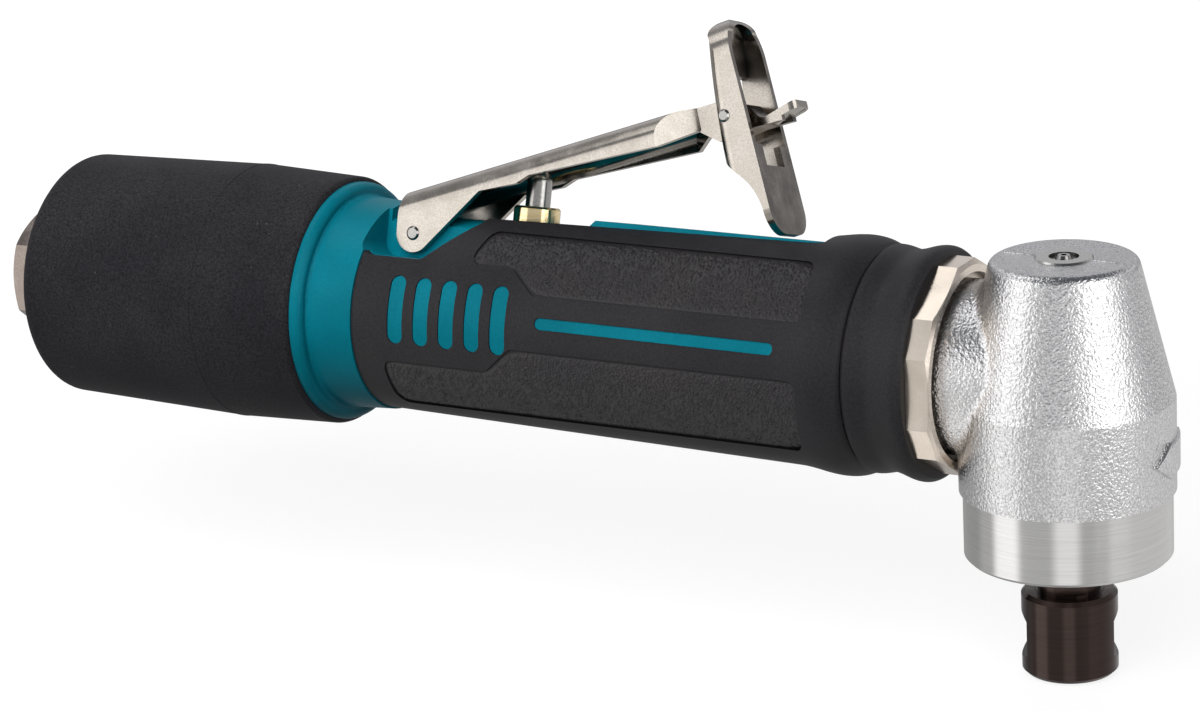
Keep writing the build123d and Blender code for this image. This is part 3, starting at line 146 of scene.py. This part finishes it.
def moulded_rubber(name, low, high, relief_mm, shine, gloss=0.2):
    # Moulded rubber: charcoal, soft sheen, and a fine grain that dulls the highlights.
    material, tree, shader, place = start_material(name)
    grain = add(tree, "TexNoise", {"Vector": place, "Scale": per(0.4), "Detail": 3.0}).outputs["Fac"]
    cloud = add(tree, "TexNoise", {"Vector": place, "Scale": per(16.0), "Detail": 2.0}).outputs["Fac"]
    colour = add(tree, "ValToRGB", {"Fac": grain}, {0.35: low, 0.7: high}).outputs["Color"]
    depth = add(tree, "ValToRGB", {"Fac": cloud}, {0.35: "#e2e2ea", 0.65: "#ffffff"}).outputs["Color"]
    body = add(tree, "Mix", {0: 1.0, 6: colour, 7: depth}, data_type="RGBA", blend_type="MULTIPLY").outputs[2]
    rough = add(tree, "MapRange", {"Value": grain, "To Min": shine, "To Max": shine + 0.15}).outputs[0]
    bump = add(tree, "Bump", {"Height": grain, "Strength": 0.6, "Distance": relief_mm * mm}).outputs["Normal"]
    fill(tree, shader, {
        "Base Color": body, "Roughness": rough, "Normal": bump, "IOR": 1.5, "Specular IOR Level": gloss})
    return material


def shot_blasted_aluminium():
    # Die cast aluminium, shot blasted: pale silver, thousands of tiny dents that sparkle in the lamps.
    material, tree, shader, place = start_material("shot_blasted_aluminium")
    dents = add(tree, "TexVoronoi", {
        "Vector": place, "Scale": per(0.55)}, feature="SMOOTH_F1").outputs["Distance"]
    frost = add(tree, "TexNoise", {"Vector": place, "Scale": per(0.35), "Detail": 1.0}).outputs["Fac"]
    relief = add(tree, "Math", {0: dents, 1: frost}, operation="ADD").outputs[0]
    cloud = add(tree, "TexNoise", {"Vector": place, "Scale": per(9.0), "Detail": 2.0}).outputs["Fac"]
    colour = add(tree, "ValToRGB", {"Fac": frost}, {0.35: "#cccbcb", 0.65: "#f0efef"}).outputs["Color"]
    rough = add(tree, "MapRange", {"Value": cloud, "To Min": 0.24, "To Max": 0.32}).outputs[0]
    bump = add(tree, "Bump", {"Height": relief, "Strength": 1.0, "Distance": 0.1 * mm}).outputs["Normal"]
    fill(tree, shader, {"Base Color": colour, "Roughness": rough, "Normal": bump, "Metallic": 1.0})
    return material


def turned_metal(name, bright, dark, ring_mm, shine):
    # Metal fresh from the lathe: fine rings round the upright axis that draw the highlights out into bands.
    # The rings are about twice as coarse as a real fine cut, so that they show.
    material, tree, shader, place = start_material(name)
    along = add(tree, "Mapping", {
        "Vector": place, "Scale": (ring_stretch, ring_stretch, 1.0)}).outputs["Vector"]
    rings = add(tree, "TexNoise", {"Vector": along, "Scale": per(ring_mm), "Detail": 2.0}).outputs["Fac"]
    cloud = add(tree, "TexNoise", {"Vector": place, "Scale": per(7.0), "Detail": 3.0}).outputs["Fac"]
    colour = add(tree, "ValToRGB", {"Fac": rings}, {0.3: dark, 0.7: bright}).outputs["Color"]
    rough = add(tree, "MapRange", {"Value": cloud, "To Min": shine, "To Max": shine + 0.06}).outputs[0]
    bump = add(tree, "Bump", {"Height": rings, "Strength": 0.5, "Distance": 0.001 * mm}).outputs["Normal"]
    flow = add(tree, "Tangent", direction_type="RADIAL", axis="Z").outputs["Tangent"]
    fill(tree, shader, {
        "Base Color": colour, "Roughness": rough, "Normal": bump, "Tangent": flow, "Metallic": 1.0,
        "Anisotropic": 0.9, "Anisotropic Rotation": 0.25})
    return material


def worn_metal(name, bright, dark, grain_mm, stain_mm, shine, dull, relief_mm):
    # Solid metal with a fine even finish: small grains, wider stains that change the gloss, and painted shade
    # that darkens the hollows.
    material, tree, shader, place = start_material(name)
    grain = add(tree, "TexNoise", {"Vector": place, "Scale": per(grain_mm), "Detail": 3.0}).outputs["Fac"]
    stain = add(tree, "TexNoise", {"Vector": place, "Scale": per(stain_mm), "Detail": 3.0}).outputs["Fac"]
    mix = add(tree, "Math", {0: grain, 1: stain}, operation="MULTIPLY").outputs[0]
    tone = add(tree, "ValToRGB", {"Fac": mix}, {0.15: dark, 0.4: bright}).outputs["Color"]
    # Painted shade: the colour turns dark grey where the piece shuts itself in, such as in channels and under
    # bends.
    open_air = add(tree, "AmbientOcclusion", {
        "Distance": painted_shade_reach}, samples=painted_shade_samples, only_local=True).outputs["AO"]
    painted_shade = add(tree, "ValToRGB", {"Fac": open_air}, {0.4: "#47484c", 0.97: "#ffffff"}).outputs["Color"]
    colour = add(tree, "Mix", {0: 1.0, 6: tone, 7: painted_shade}, data_type="RGBA", blend_type="MULTIPLY").outputs[2]
    rough = add(tree, "MapRange", {
        "Value": stain, "From Min": 0.3, "From Max": 0.7, "To Min": shine, "To Max": dull}).outputs[0]
    bump = add(tree, "Bump", {"Height": grain, "Strength": 0.5, "Distance": relief_mm * mm}).outputs["Normal"]
    fill(tree, shader, {"Base Color": colour, "Roughness": rough, "Normal": bump, "Metallic": 1.0})
    return material


def needled_felt():
    # Needled wool felt: grey, matt, tangled fibres.
    material, tree, shader, place = start_material("needled_felt")
    fibre = add(tree, "TexNoise", {
        "Vector": place, "Scale": per(0.9), "Detail": 6.0, "Distortion": 3.0}).outputs["Fac"]
    colour = add(tree, "ValToRGB", {"Fac": fibre}, {0.3: "#77736d", 0.7: "#aba69e"}).outputs["Color"]
    bump = add(tree, "Bump", {"Height": fibre, "Strength": 0.9, "Distance": 0.15 * mm}).outputs["Normal"]
    fill(tree, shader, {"Base Color": colour, "Normal": bump, "Roughness": 0.95, "Sheen Weight": 0.4})
    return material


def vane_laminate():
    # Resin bonded cotton laminate: tan with a fine weave of 0.6 mm threads.
    material, tree, shader, place = start_material("resin_bonded_laminate")
    weave = add(tree, "TexWave", {"Vector": place, "Scale": per(3.8), "Distortion": 1.0}).outputs["Fac"]
    colour = add(tree, "ValToRGB", {"Fac": weave}, {0.2: "#6b4a26", 0.8: "#8e6a3b"}).outputs["Color"]
    bump = add(tree, "Bump", {"Height": weave, "Strength": 0.4, "Distance": 0.03 * mm}).outputs["Normal"]
    fill(tree, shader, {"Base Color": colour, "Normal": bump, "Roughness": 0.5})
    return material


finishes = {
    "black_composite": moulded_black_acetal(),
    "teal_composite": satin_teal_nylon(),
    # Thermoplastic rubber on the grip: smooth, with a soft sheen.
    "grip_rubber": moulded_rubber("moulded_grip_rubber", "#282729", "#353335", relief_mm=0.015, shine=0.42),
    "blasted_aluminium": shot_blasted_aluminium(),
    # Bright aluminium with clear upright bands of light.
    "turned_aluminium": turned_metal("fine_turned_aluminium", "#dddcdb", "#d3d2d1", ring_mm=0.2, shine=0.16),
    # Nickel plate: bright, with a warm tint.
    "nickel_steel": worn_metal(
        "nickel_plated_steel", "#f8ecde", "#ecdfd0",
        grain_mm=0.25, stain_mm=5.0, shine=0.2, dull=0.28, relief_mm=0.004),
    # Turned steel under a film of oil: darker and brownish.
    "inlet_steel": worn_metal(
        "oiled_turned_steel", "#b3a89f", "#998d85",
        grain_mm=0.25, stain_mm=4.0, shine=0.15, dull=0.24, relief_mm=0.006),
    # Zinc plate: pale grey, a little cloudy.
    "zinc_steel": worn_metal(
        "zinc_plated_steel", "#cfcec9", "#bab9b4",
        grain_mm=0.3, stain_mm=3.0, shine=0.2, dull=0.3, relief_mm=0.006),
    # Stamped stainless sheet, tumbled smooth: sharp reflections with dull patches.
    "stainless_sheet": worn_metal(
        "tumbled_stainless_sheet", "#c4bdb4", "#aca59b",
        grain_mm=0.3, stain_mm=4.0, shine=0.12, dull=0.22, relief_mm=0.006),
    # Black oxide on turned steel: dark brown with narrow highlights.
    "black_oxide_steel": turned_metal("black_oxide_steel", "#463b37", "#3f3532", ring_mm=0.25, shine=0.15),
    # Ground steel: neutral grey and shiny.
    "bright_steel": worn_metal(
        "ground_bright_steel", "#b0aeaa", "#9a9894",
        grain_mm=0.3, stain_mm=4.0, shine=0.15, dull=0.24, relief_mm=0.003),
    # Polished bearing steel: close to a mirror.
    "bearing_ball_steel": worn_metal(
        "polished_bearing_steel", "#dcdcdd", "#cfcfd1",
        grain_mm=0.5, stain_mm=3.0, shine=0.04, dull=0.08, relief_mm=0.002),
    # Turned brass: pale gold.
    "brass": turned_metal("turned_brass", "#f6e4b8", "#e9d19a", ring_mm=0.2, shine=0.16),
    # Nitrile rubber of the seals: near black and duller than the grip.
    "seal_rubber": moulded_rubber("moulded_nitrile_rubber", "#161616", "#242322", relief_mm=0.01, shine=0.5),
    "grey_felt": needled_felt(),
    "vane_composite": vane_laminate(),
    # Machined cast iron: dark grey, grainy and half dull.
    "cast_iron_grey": worn_metal(
        "machined_cast_iron", "#8d8b88", "#6a6865",
        grain_mm=0.5, stain_mm=5.0, shine=0.35, dull=0.5, relief_mm=0.02),
}
# The same rubber on the pebbled panels: rubbed a little shinier on top of the pebbles.
pebbled_rubber = moulded_rubber(
    "pebbled_grip_rubber", "#2a2829", "#393637", relief_mm=0.01, shine=0.28, gloss=0.36)
slot_of = {part["node"]: part["material_slot"] for part in frame["record"]["subparts"]}
for node_name, piece in frame["nodes"].items():
    for slot in piece.material_slots:
        slot.material = finishes[slot_of[node_name]]


# Steps that several new pieces share, millimetres
sheet_lift = 30.0
merge_gap = 0.001
smooth_angle = math.radians(30)


def select_only(piece):
    bpy.ops.object.select_all(action="DESELECT")
    piece.select_set(True)
    bpy.context.view_layer.objects.active = piece


def select_faces(piece, chosen):
    """Opens a piece in edit mode with the faces selected whose centre the test picks out."""
    select_only(piece)
    bpy.ops.object.mode_set(mode="EDIT")
    bpy.ops.mesh.select_mode(type="FACE")
    bpy.ops.mesh.select_all(action="DESELECT")
    bpy.ops.object.mode_set(mode="OBJECT")
    for face in piece.data.polygons:
        face.select = chosen(face.center)
    bpy.ops.object.mode_set(mode="EDIT")


def apply_modifier(piece, kind, **fields):
    modifier = piece.modifiers.new(kind.lower(), kind)
    for field, value in fields.items():
        setattr(modifier, field, value)
    select_only(piece)
    bpy.ops.object.modifier_apply(modifier=modifier.name)


def flat_sheet(name, low, high, cell, place, turn):
    """Grid between two corners of a turned plane, lifted off it so that it can be laid on a curved wall."""
    size, middle = high - low, (low + high) / 2
    bpy.ops.object.select_all(action="DESELECT")
    bpy.ops.mesh.primitive_grid_add(
        x_subdivisions=round(size.x / cell), y_subdivisions=round(size.y / cell), size=1.0,
        location=place, rotation=turn)
    sheet = bpy.context.object
    sheet.name = name
    sheet.scale = (size.x * mm, size.y * mm, 1.0)
    bpy.ops.object.transform_apply(location=False, rotation=False, scale=True)
    bpy.ops.object.mode_set(mode="EDIT")
    bpy.ops.mesh.select_all(action="SELECT")
    bpy.ops.transform.translate(value=(middle.x * mm, middle.y * mm, sheet_lift * mm), orient_type="LOCAL")
    bpy.ops.object.mode_set(mode="OBJECT")
    bpy.context.view_layer.update()
    return sheet


def lay_on(sheet, node_name, stand):
    """Drops a lifted sheet onto a CAD piece, to stand this far off its wall."""
    apply_modifier(sheet, "SHRINKWRAP", target=frame["nodes"][node_name], wrap_method="PROJECT",
                   use_project_z=True, use_negative_direction=True, use_positive_direction=False,
                   offset=stand * mm)


def dress(piece, slot):
    """Finish of a small piece that is fixed to the housing."""
    bpy.ops.object.shade_smooth_by_angle(angle=smooth_angle)
    piece.data.materials.append(finishes[slot])
    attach(piece, "housing")


# Pebbled panels of the grip, in the handle's own frame: X along the handle, Z towards the lever, millimetres
panel_front = -40.9
panel_front_lean = 1.2
panel_corner = 2.0
panel_corner_steps = 5
panel_edge = 0.35
panel_fade = 0.7
panel_cell = 0.15
panel_seat = 0.03
panel_step_run = 5.4
pebble_size = 0.52
pebble_height = 0.55
pebble_middle = 0.0
upper_panel_rear = -109.5
upper_panel_lean = 2.0
upper_panel_step = -99.9
upper_panel_top, upper_panel_ledge, upper_panel_side = 15.6, 9.2, 4.7
lower_panel_rear = -125.8
lower_panel_step = -103.8
lower_panel_bottom, lower_panel_ledge, lower_panel_side = -17.3, -9.6, -5.1


def rounded(corners):
    """Panel outline with each corner drawn as a short curve."""
    outline = []
    for index, corner in enumerate(corners):
        here = Vector(corner)
        before = (Vector(corners[index - 1]) - here).normalized()
        after = (Vector(corners[(index + 1) % len(corners)]) - here).normalized()
        for step in range(panel_corner_steps + 1):
            share = step / panel_corner_steps
            outline.append(here + panel_corner * ((1 - share) ** 2 * before + share ** 2 * after))
    return outline


def inside_by(point, outline):
    """Distance of a point from an outline, less than zero outside it."""
    within, nearest = False, math.inf
    for index, end in enumerate(outline):
        start = outline[index - 1]
        if (start.y > point.y) != (end.y > point.y):
            crossing = start.x + (end.x - start.x) * (point.y - start.y) / (end.y - start.y)
            if point.x < crossing:
                within = not within
        run = end - start
        share = min(max((point - start).dot(run) / run.length_squared, 0.0), 1.0)
        nearest = min(nearest, (start + share * run - point).length)
    return nearest if within else -nearest


def pebbled_panel(name, corners, pebbles):
    """Sheet of small pebbles in a recess of the grip, on the near flank and mirrored on the far one."""
    outline = rounded(corners)
    low = Vector((min(p.x for p in outline), min(p.y for p in outline)))
    high = Vector((max(p.x for p in outline), max(p.y for p in outline)))
    near = flat_sheet(name + "_near", low, high, panel_cell, (0.0, 0.0, housing_axis_height),
                      (math.pi / 2 - handle_clocking, 0.0, 0.0))
    select_faces(near, lambda centre: inside_by(centre.xy / mm, outline) < panel_edge)
    bpy.ops.mesh.delete(type="FACE")
    bpy.ops.object.mode_set(mode="OBJECT")
    fade = near.vertex_groups.new(name="fade")
    for vertex in near.data.vertices:
        depth = inside_by(vertex.co.xy / mm, outline) - panel_edge
        fade.add([vertex.index], min(max(depth / panel_fade, 0.0), 1.0), "REPLACE")
    lay_on(near, "grip_sleeve", panel_seat)
    apply_modifier(near, "DISPLACE", texture=pebbles, texture_coords="LOCAL", vertex_group="fade",
                   strength=pebble_height * mm, mid_level=pebble_middle)
    far = near.copy()
    far.data = near.data.copy()
    far.name = name + "_far"
    bpy.context.scene.collection.objects.link(far)
    far.scale.z = -1.0
    for panel in (near, far):
        select_only(panel)
        bpy.ops.object.transform_apply(location=True, rotation=True, scale=True)
        outward = sum(face.normal.y for face in panel.data.polygons)
        if (outward > 0) != (panel is far):
            bpy.ops.object.mode_set(mode="EDIT")
            bpy.ops.mesh.select_all(action="SELECT")
            bpy.ops.mesh.flip_normals()
            bpy.ops.object.mode_set(mode="OBJECT")
        bpy.ops.object.shade_smooth()
        panel.data.materials.append(pebbled_rubber)
        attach(panel, "housing")


# Cells with rounded middles and deep valleys between them
pebble_texture = bpy.data.textures.new("pebbles", "VORONOI")
pebble_texture.noise_scale = pebble_size * mm
pebble_texture.weight_1 = -1.0
pebble_texture.weight_2 = 1.0
pebble_texture.noise_intensity = 2.0
pebbled_panel("upper_panel", [
    (upper_panel_rear + upper_panel_lean, upper_panel_top), (panel_front - panel_front_lean, upper_panel_top),
    (panel_front, upper_panel_side), (upper_panel_step + panel_step_run, upper_panel_side),
    (upper_panel_step, upper_panel_ledge), (upper_panel_rear, upper_panel_ledge),
], pebble_texture)
pebbled_panel("lower_panel", [
    (lower_panel_rear, lower_panel_ledge), (lower_panel_step, lower_panel_ledge),
    (lower_panel_step + panel_step_run, lower_panel_side), (panel_front, lower_panel_side),
    (panel_front - panel_front_lean, lower_panel_bottom), (lower_panel_rear, lower_panel_bottom),
], pebble_texture)


# Turning arrow on the front of the head, parting ridges across its top, seam of the silencer, millimetres
arrow_bearing = math.radians(7.5)
arrow_height = 40.3
arrow_tip, arrow_barb, arrow_tail = -7.7, -2.3, 7.6
arrow_half, shaft_half = 3.6, 2.7
arrow_cell = 0.4
arrow_proud, arrow_thickness, arrow_edge = 0.6, 0.9, 0.15
ridge_start, ridge_end = 5.3, 10.9
ridge_width, ridge_stand, ridge_edge = 0.5, 0.12, 0.08
seam_reach, seam_width, seam_stand, seam_depth, seam_edge = 39.8, 0.45, 0.05, 0.4, 0.05
seam_sides = 192
edge_steps = 2


def trim(sheet, chosen, point, normal):
    """Cuts the chosen faces of a sheet along a line and clears what lies beyond it."""
    select_faces(sheet, chosen)
    turn = sheet.matrix_world
    bpy.ops.mesh.bisect(
        plane_co=turn @ (Vector(point) * mm), plane_no=turn.to_3x3() @ Vector(normal).normalized(),
        clear_outer=True, threshold=merge_gap * mm)
    bpy.ops.object.mode_set(mode="OBJECT")


def thicken(piece, depth, edge):
    """Gives a thin shell depth inwards and small round edges."""
    apply_modifier(piece, "SOLIDIFY", thickness=depth * mm, offset=-1.0)
    apply_modifier(piece, "BEVEL", width=edge * mm, segments=edge_steps, limit_method="ANGLE")


def turning_arrow():
    """Raised arrow that follows the head's wall."""
    outward = Vector((math.cos(arrow_bearing), math.sin(arrow_bearing), 0.0))
    along = Vector((-outward.y, outward.x, 0.0))
    turn = Matrix((along, Vector((0.0, 0.0, 1.0)), outward)).transposed().to_euler()
    arrow = flat_sheet("turning_arrow", Vector((arrow_tip, -arrow_half)), Vector((arrow_tail, arrow_half)),
                       arrow_cell, (0.0, 0.0, arrow_height * mm), turn)
    slope = arrow_barb - arrow_tip
    barb = arrow_barb * mm
    for side in (-1, 1):
        trim(arrow, lambda centre: True, (arrow_tip, 0.0, 0.0), (-arrow_half, side * slope, 0.0))
        trim(arrow, lambda centre: centre.x > barb, (0.0, side * shaft_half, 0.0), (0.0, side, 0.0))
    lay_on(arrow, "angle_head", arrow_proud)
    thicken(arrow, arrow_thickness, arrow_edge)
    bpy.ops.object.transform_apply(location=True, rotation=True, scale=True)
    dress(arrow, "blasted_aluminium")


def parting_ridge(name, side):
    """Thin ridge left on the head's top where the two halves of the mould met."""
    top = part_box("angle_head")[1].z
    middle = side * (ridge_start + ridge_end) / 2 * mm
    bpy.ops.object.select_all(action="DESELECT")
    bpy.ops.mesh.primitive_cube_add(size=1.0, location=(middle, 0.0, top))
    ridge = bpy.context.object
    ridge.name = name
    ridge.scale = ((ridge_end - ridge_start) * mm, ridge_width * mm, 2 * ridge_stand * mm)
    bpy.ops.object.transform_apply(location=True, rotation=True, scale=True)
    bpy.ops.object.mode_set(mode="EDIT")
    bpy.ops.mesh.select_all(action="SELECT")
    bpy.ops.mesh.bevel(offset=ridge_edge * mm, segments=edge_steps, affect="EDGES")
    bpy.ops.object.mode_set(mode="OBJECT")
    dress(ridge, "blasted_aluminium")


def silencer_seam():
    """Fine raised line where the silencer's two tapers meet."""
    low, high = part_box("silencer_cover")
    bpy.ops.object.select_all(action="DESELECT")
    bpy.ops.mesh.primitive_cylinder_add(
        vertices=seam_sides, radius=high.y + seam_stand * mm, depth=seam_width * mm, end_fill_type="NOTHING",
        location=(low.x + seam_reach * mm, 0.0, housing_axis_height), rotation=(0.0, math.pi / 2, 0.0))
    seam = bpy.context.object
    seam.name = "silencer_seam"
    bpy.ops.object.transform_apply(location=True, rotation=True, scale=True)
    thicken(seam, seam_depth, seam_edge)
    dress(seam, "black_composite")


turning_arrow()
parting_ridge("parting_ridge_front", 1)
parting_ridge("parting_ridge_rear", -1)
silencer_seam()


def shortening_spring():
    """Copy of the rigid spring as one merged mesh fixed to the housing, in place of the hidden CAD spring."""
    rigid = frame["nodes"]["valve_spring"]
    spring = rigid.copy()
    spring.data = rigid.data.copy()
    spring.name = "shortening_spring"
    bpy.context.scene.collection.objects.link(spring)
    spring.parent = None
    spring.matrix_world = rigid.matrix_world.copy()
    select_only(spring)
    bpy.ops.object.transform_apply(location=True, rotation=True, scale=True)
    bpy.ops.object.mode_set(mode="EDIT")
    bpy.ops.mesh.select_all(action="SELECT")
    bpy.ops.mesh.remove_doubles(threshold=merge_gap * mm)
    bpy.ops.object.mode_set(mode="OBJECT")
    dress(spring, "bright_steel")
    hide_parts("valve_spring")
    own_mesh(spring)


shortening_spring()


# Stage: white paper, soft studio lamps and the photograph's camera, metres
camera_azimuth = math.radians(29.565)
camera_elevation = math.radians(17.123)
camera_roll = math.radians(-3.0496)
camera_distance = 664.70 * mm
camera_slide = (-79.287 * mm, 3.737 * mm)
camera_clip = 0.01
image_width = 1200
focal_pixels = 3905.42
sensor_width = 36.0
flat_right = Vector((math.cos(camera_azimuth), math.sin(camera_azimuth), 0.0))
flat_back = Vector((math.sin(camera_azimuth), -math.cos(camera_azimuth), 0.0))
lamp_target = Vector((-0.085, 0.0, 0.05))
fill_light = 0.08
# Heights of a ray, from 0 at the horizon to 1 overhead, over which one tone of the studio goes into the next
horizon_start, horizon_end = 0.02, 0.25
backdrop_start, backdrop_end = 0.4, 0.85
room_start, room_end = 0.15, 0.7
card_start, card_end = 0.02, -0.06
# Share by which a ray faces the camera, over which the backdrop goes into the room
facing_start, facing_end = -0.1, 0.35
# Cards round the tool below the horizon: degrees to the right of the camera, and how bright
low_cards = [
    (-180, 0.38), (-124, 0.38), (-116, 0.52), (-100, 0.52), (-92, 1.3), (-68, 1.3), (-60, 0.54), (-28, 0.54),
    (-18, 1.0), (0, 1.0), (9, 0.52), (34, 0.5), (42, 0.7), (140, 0.7), (180, 0.38)]
floor_size = 8.0
floor_height = -0.4 * mm
floor_glow_near, floor_glow_far = 0.86, 1.0
floor_near, floor_far = 0.15, 0.6


def set_camera():
    back = flat_back * math.cos(camera_elevation) + Vector((0.0, 0.0, math.sin(camera_elevation)))
    level_up = back.cross(flat_right)
    right = flat_right * math.cos(camera_roll) + level_up * math.sin(camera_roll)
    up = level_up * math.cos(camera_roll) - flat_right * math.sin(camera_roll)
    place = right * camera_slide[0] + up * camera_slide[1] + back * camera_distance
    place.z += housing_axis_height
    data = bpy.data.cameras.new("photo_camera")
    data.sensor_width = sensor_width
    data.sensor_fit = "HORIZONTAL"
    data.lens = focal_pixels * sensor_width / image_width
    data.clip_start = camera_clip
    camera = bpy.data.objects.new("photo_camera", data)
    bpy.context.scene.collection.objects.link(camera)
    camera.matrix_world = Matrix.Translation(place) @ Matrix((right, up, back)).transposed().to_4x4()
    bpy.context.scene.camera = camera


def set_lamp(name, side, height, distance, size, power, mirrored):
    """A soft box, in degrees right of the camera and up, that the metals mirror or that lights the rest."""
    around, rise = math.radians(side), math.radians(height)
    aim = (flat_back * math.cos(around) + flat_right * math.sin(around)) * math.cos(rise)
    aim.z = math.sin(rise)
    data = bpy.data.lights.new(name, "AREA")
    data.shape = "RECTANGLE"
    data.size, data.size_y = size
    data.energy = power
    lamp = bpy.data.objects.new(name, data)
    lamp.visible_glossy = mirrored
    lamp.visible_diffuse = not mirrored
    bpy.context.scene.collection.objects.link(lamp)
    turn = aim.to_track_quat("Z", "Y").to_matrix().to_4x4()
    lamp.matrix_world = Matrix.Translation(lamp_target + aim * distance) @ turn


def seen_directly(tree):
    """One for rays that meet the eye straight, in a mirror or through glass."""
    ray = add(tree, "LightPath").outputs
    first = add(tree, "Math", {
        0: ray["Is Camera Ray"], 1: ray["Is Glossy Ray"]}, operation="MAXIMUM").outputs[0]
    return add(tree, "Math", {0: first, 1: ray["Is Transmission Ray"]}, operation="MAXIMUM").outputs[0]


def set_world():
    """White for the eye; backdrop, room and low cards for the metals to mirror; a dim fill for the rest."""
    world = bpy.data.worlds.new("studio")
    bpy.context.scene.world = world
    world.use_nodes = True
    tree = world.node_tree
    tree.nodes.clear()
    way = add(tree, "TexCoord").outputs["Generated"]
    sideways = add(tree, "VectorMath", {0: way, 1: flat_right}, operation="DOT_PRODUCT").outputs["Value"]
    facing = add(tree, "VectorMath", {0: way, 1: flat_back}, operation="DOT_PRODUCT").outputs["Value"]
    height = add(tree, "SeparateXYZ", {0: way}).outputs["Z"]
    high = add(tree, "ValToRGB", {"Fac": height}, {
        backdrop_start: "#d8d8dc", backdrop_end: "#50545a"}).outputs["Color"]
    low = add(tree, "ValToRGB", {"Fac": height}, {
        horizon_start: "#85868a", horizon_end: "#ffffff"}).outputs["Color"]
    backdrop = add(tree, "Mix", {0: 1.0, 6: high, 7: low}, data_type="RGBA", blend_type="MULTIPLY").outputs[2]
    room = add(tree, "ValToRGB", {"Fac": height}, {
        room_start: "#dcdcde", room_end: "#50545a"}).outputs["Color"]
    side = add(tree, "MapRange", {
        "Value": facing, "From Min": facing_start, "From Max": facing_end}).outputs[0]
    above = add(tree, "Mix", {0: side, 6: backdrop, 7: room}, data_type="RGBA").outputs[2]
    turn = add(tree, "Math", {0: sideways, 1: facing}, operation="ARCTAN2").outputs[0]
    share = add(tree, "MapRange", {"Value": turn, "From Min": -math.pi, "From Max": math.pi}).outputs[0]
    levels = {0.5 + angle / 360: (level, level, level, 1.0) for angle, level in low_cards}
    cards = add(tree, "ValToRGB", {"Fac": share}, levels).outputs["Color"]
    below = add(tree, "MapRange", {"Value": height, "From Min": card_start, "From Max": card_end}).outputs[0]
    around = add(tree, "Mix", {0: below, 6: above, 7: cards}, data_type="RGBA").outputs[2]
    eye = add(tree, "LightPath").outputs["Is Camera Ray"]
    shown = add(tree, "Mix", {0: eye, 6: around, 7: linear("#ffffff")}, data_type="RGBA").outputs[2]
    strength = add(tree, "MapRange", {
        "Value": seen_directly(tree), "To Min": fill_light, "To Max": 1.0}).outputs[0]
    glow = add(tree, "Background", {"Color": shown, "Strength": strength}).outputs[0]
    add(tree, "OutputWorld", {"Surface": glow})


def set_floor():
    """Paper that glows for the eye, so that it stays white and takes a shadow; no metal mirrors it."""
    bpy.ops.object.select_all(action="DESELECT")
    bpy.ops.mesh.primitive_plane_add(size=floor_size, location=(0.0, 0.0, floor_height))
    floor = bpy.context.object
    floor.name = "floor"
    floor.visible_glossy = False
    material, tree, shader, place = start_material("white_paper")
    eye = add(tree, "LightPath").outputs["Is Camera Ray"]
    paper = add(tree, "Mix", {
        0: eye, 6: linear("#4a4a4a"), 7: linear("#7e7e7e")}, data_type="RGBA").outputs[2]
    reach = add(tree, "VectorMath", {0: place}, operation="LENGTH").outputs["Value"]
    lift = add(tree, "MapRange", {
        "Value": reach, "From Min": floor_near, "From Max": floor_far,
        "To Min": floor_glow_near, "To Max": floor_glow_far}).outputs[0]
    glow = add(tree, "Math", {0: lift, 1: seen_directly(tree)}, operation="MULTIPLY").outputs[0]
    fill(tree, shader, {
        "Base Color": paper, "Roughness": 0.9, "Specular IOR Level": 0.1,
        "Emission Color": linear("#ffffff"), "Emission Strength": glow})
    floor.data.materials.append(material)


set_camera()
set_world()
set_floor()
set_lamp("left_soft_box", side=-74.0, height=20.0, distance=1.0, size=(0.75, 0.7), power=1.9, mirrored=True)
set_lamp("right_soft_box", side=42.0, height=20.0, distance=1.0, size=(0.7, 0.9), power=3.4, mirrored=True)
set_lamp("back_left_lamp", side=-118.0, height=62.0, distance=0.9, size=(0.45, 0.45), power=1.1, mirrored=True)
set_lamp("front_fill", side=-22.0, height=42.0, distance=1.0, size=(0.9, 0.9), power=9.4, mirrored=False)
set_lamp("top_fill", side=10.0, height=72.0, distance=0.9, size=(1.1, 0.8), power=0.5, mirrored=False)
set_lamp("back_fill", side=165.0, height=26.0, distance=1.0, size=(0.9, 0.9), power=4.0, mirrored=False)
bpy.context.scene.view_settings.view_transform = "Standard"
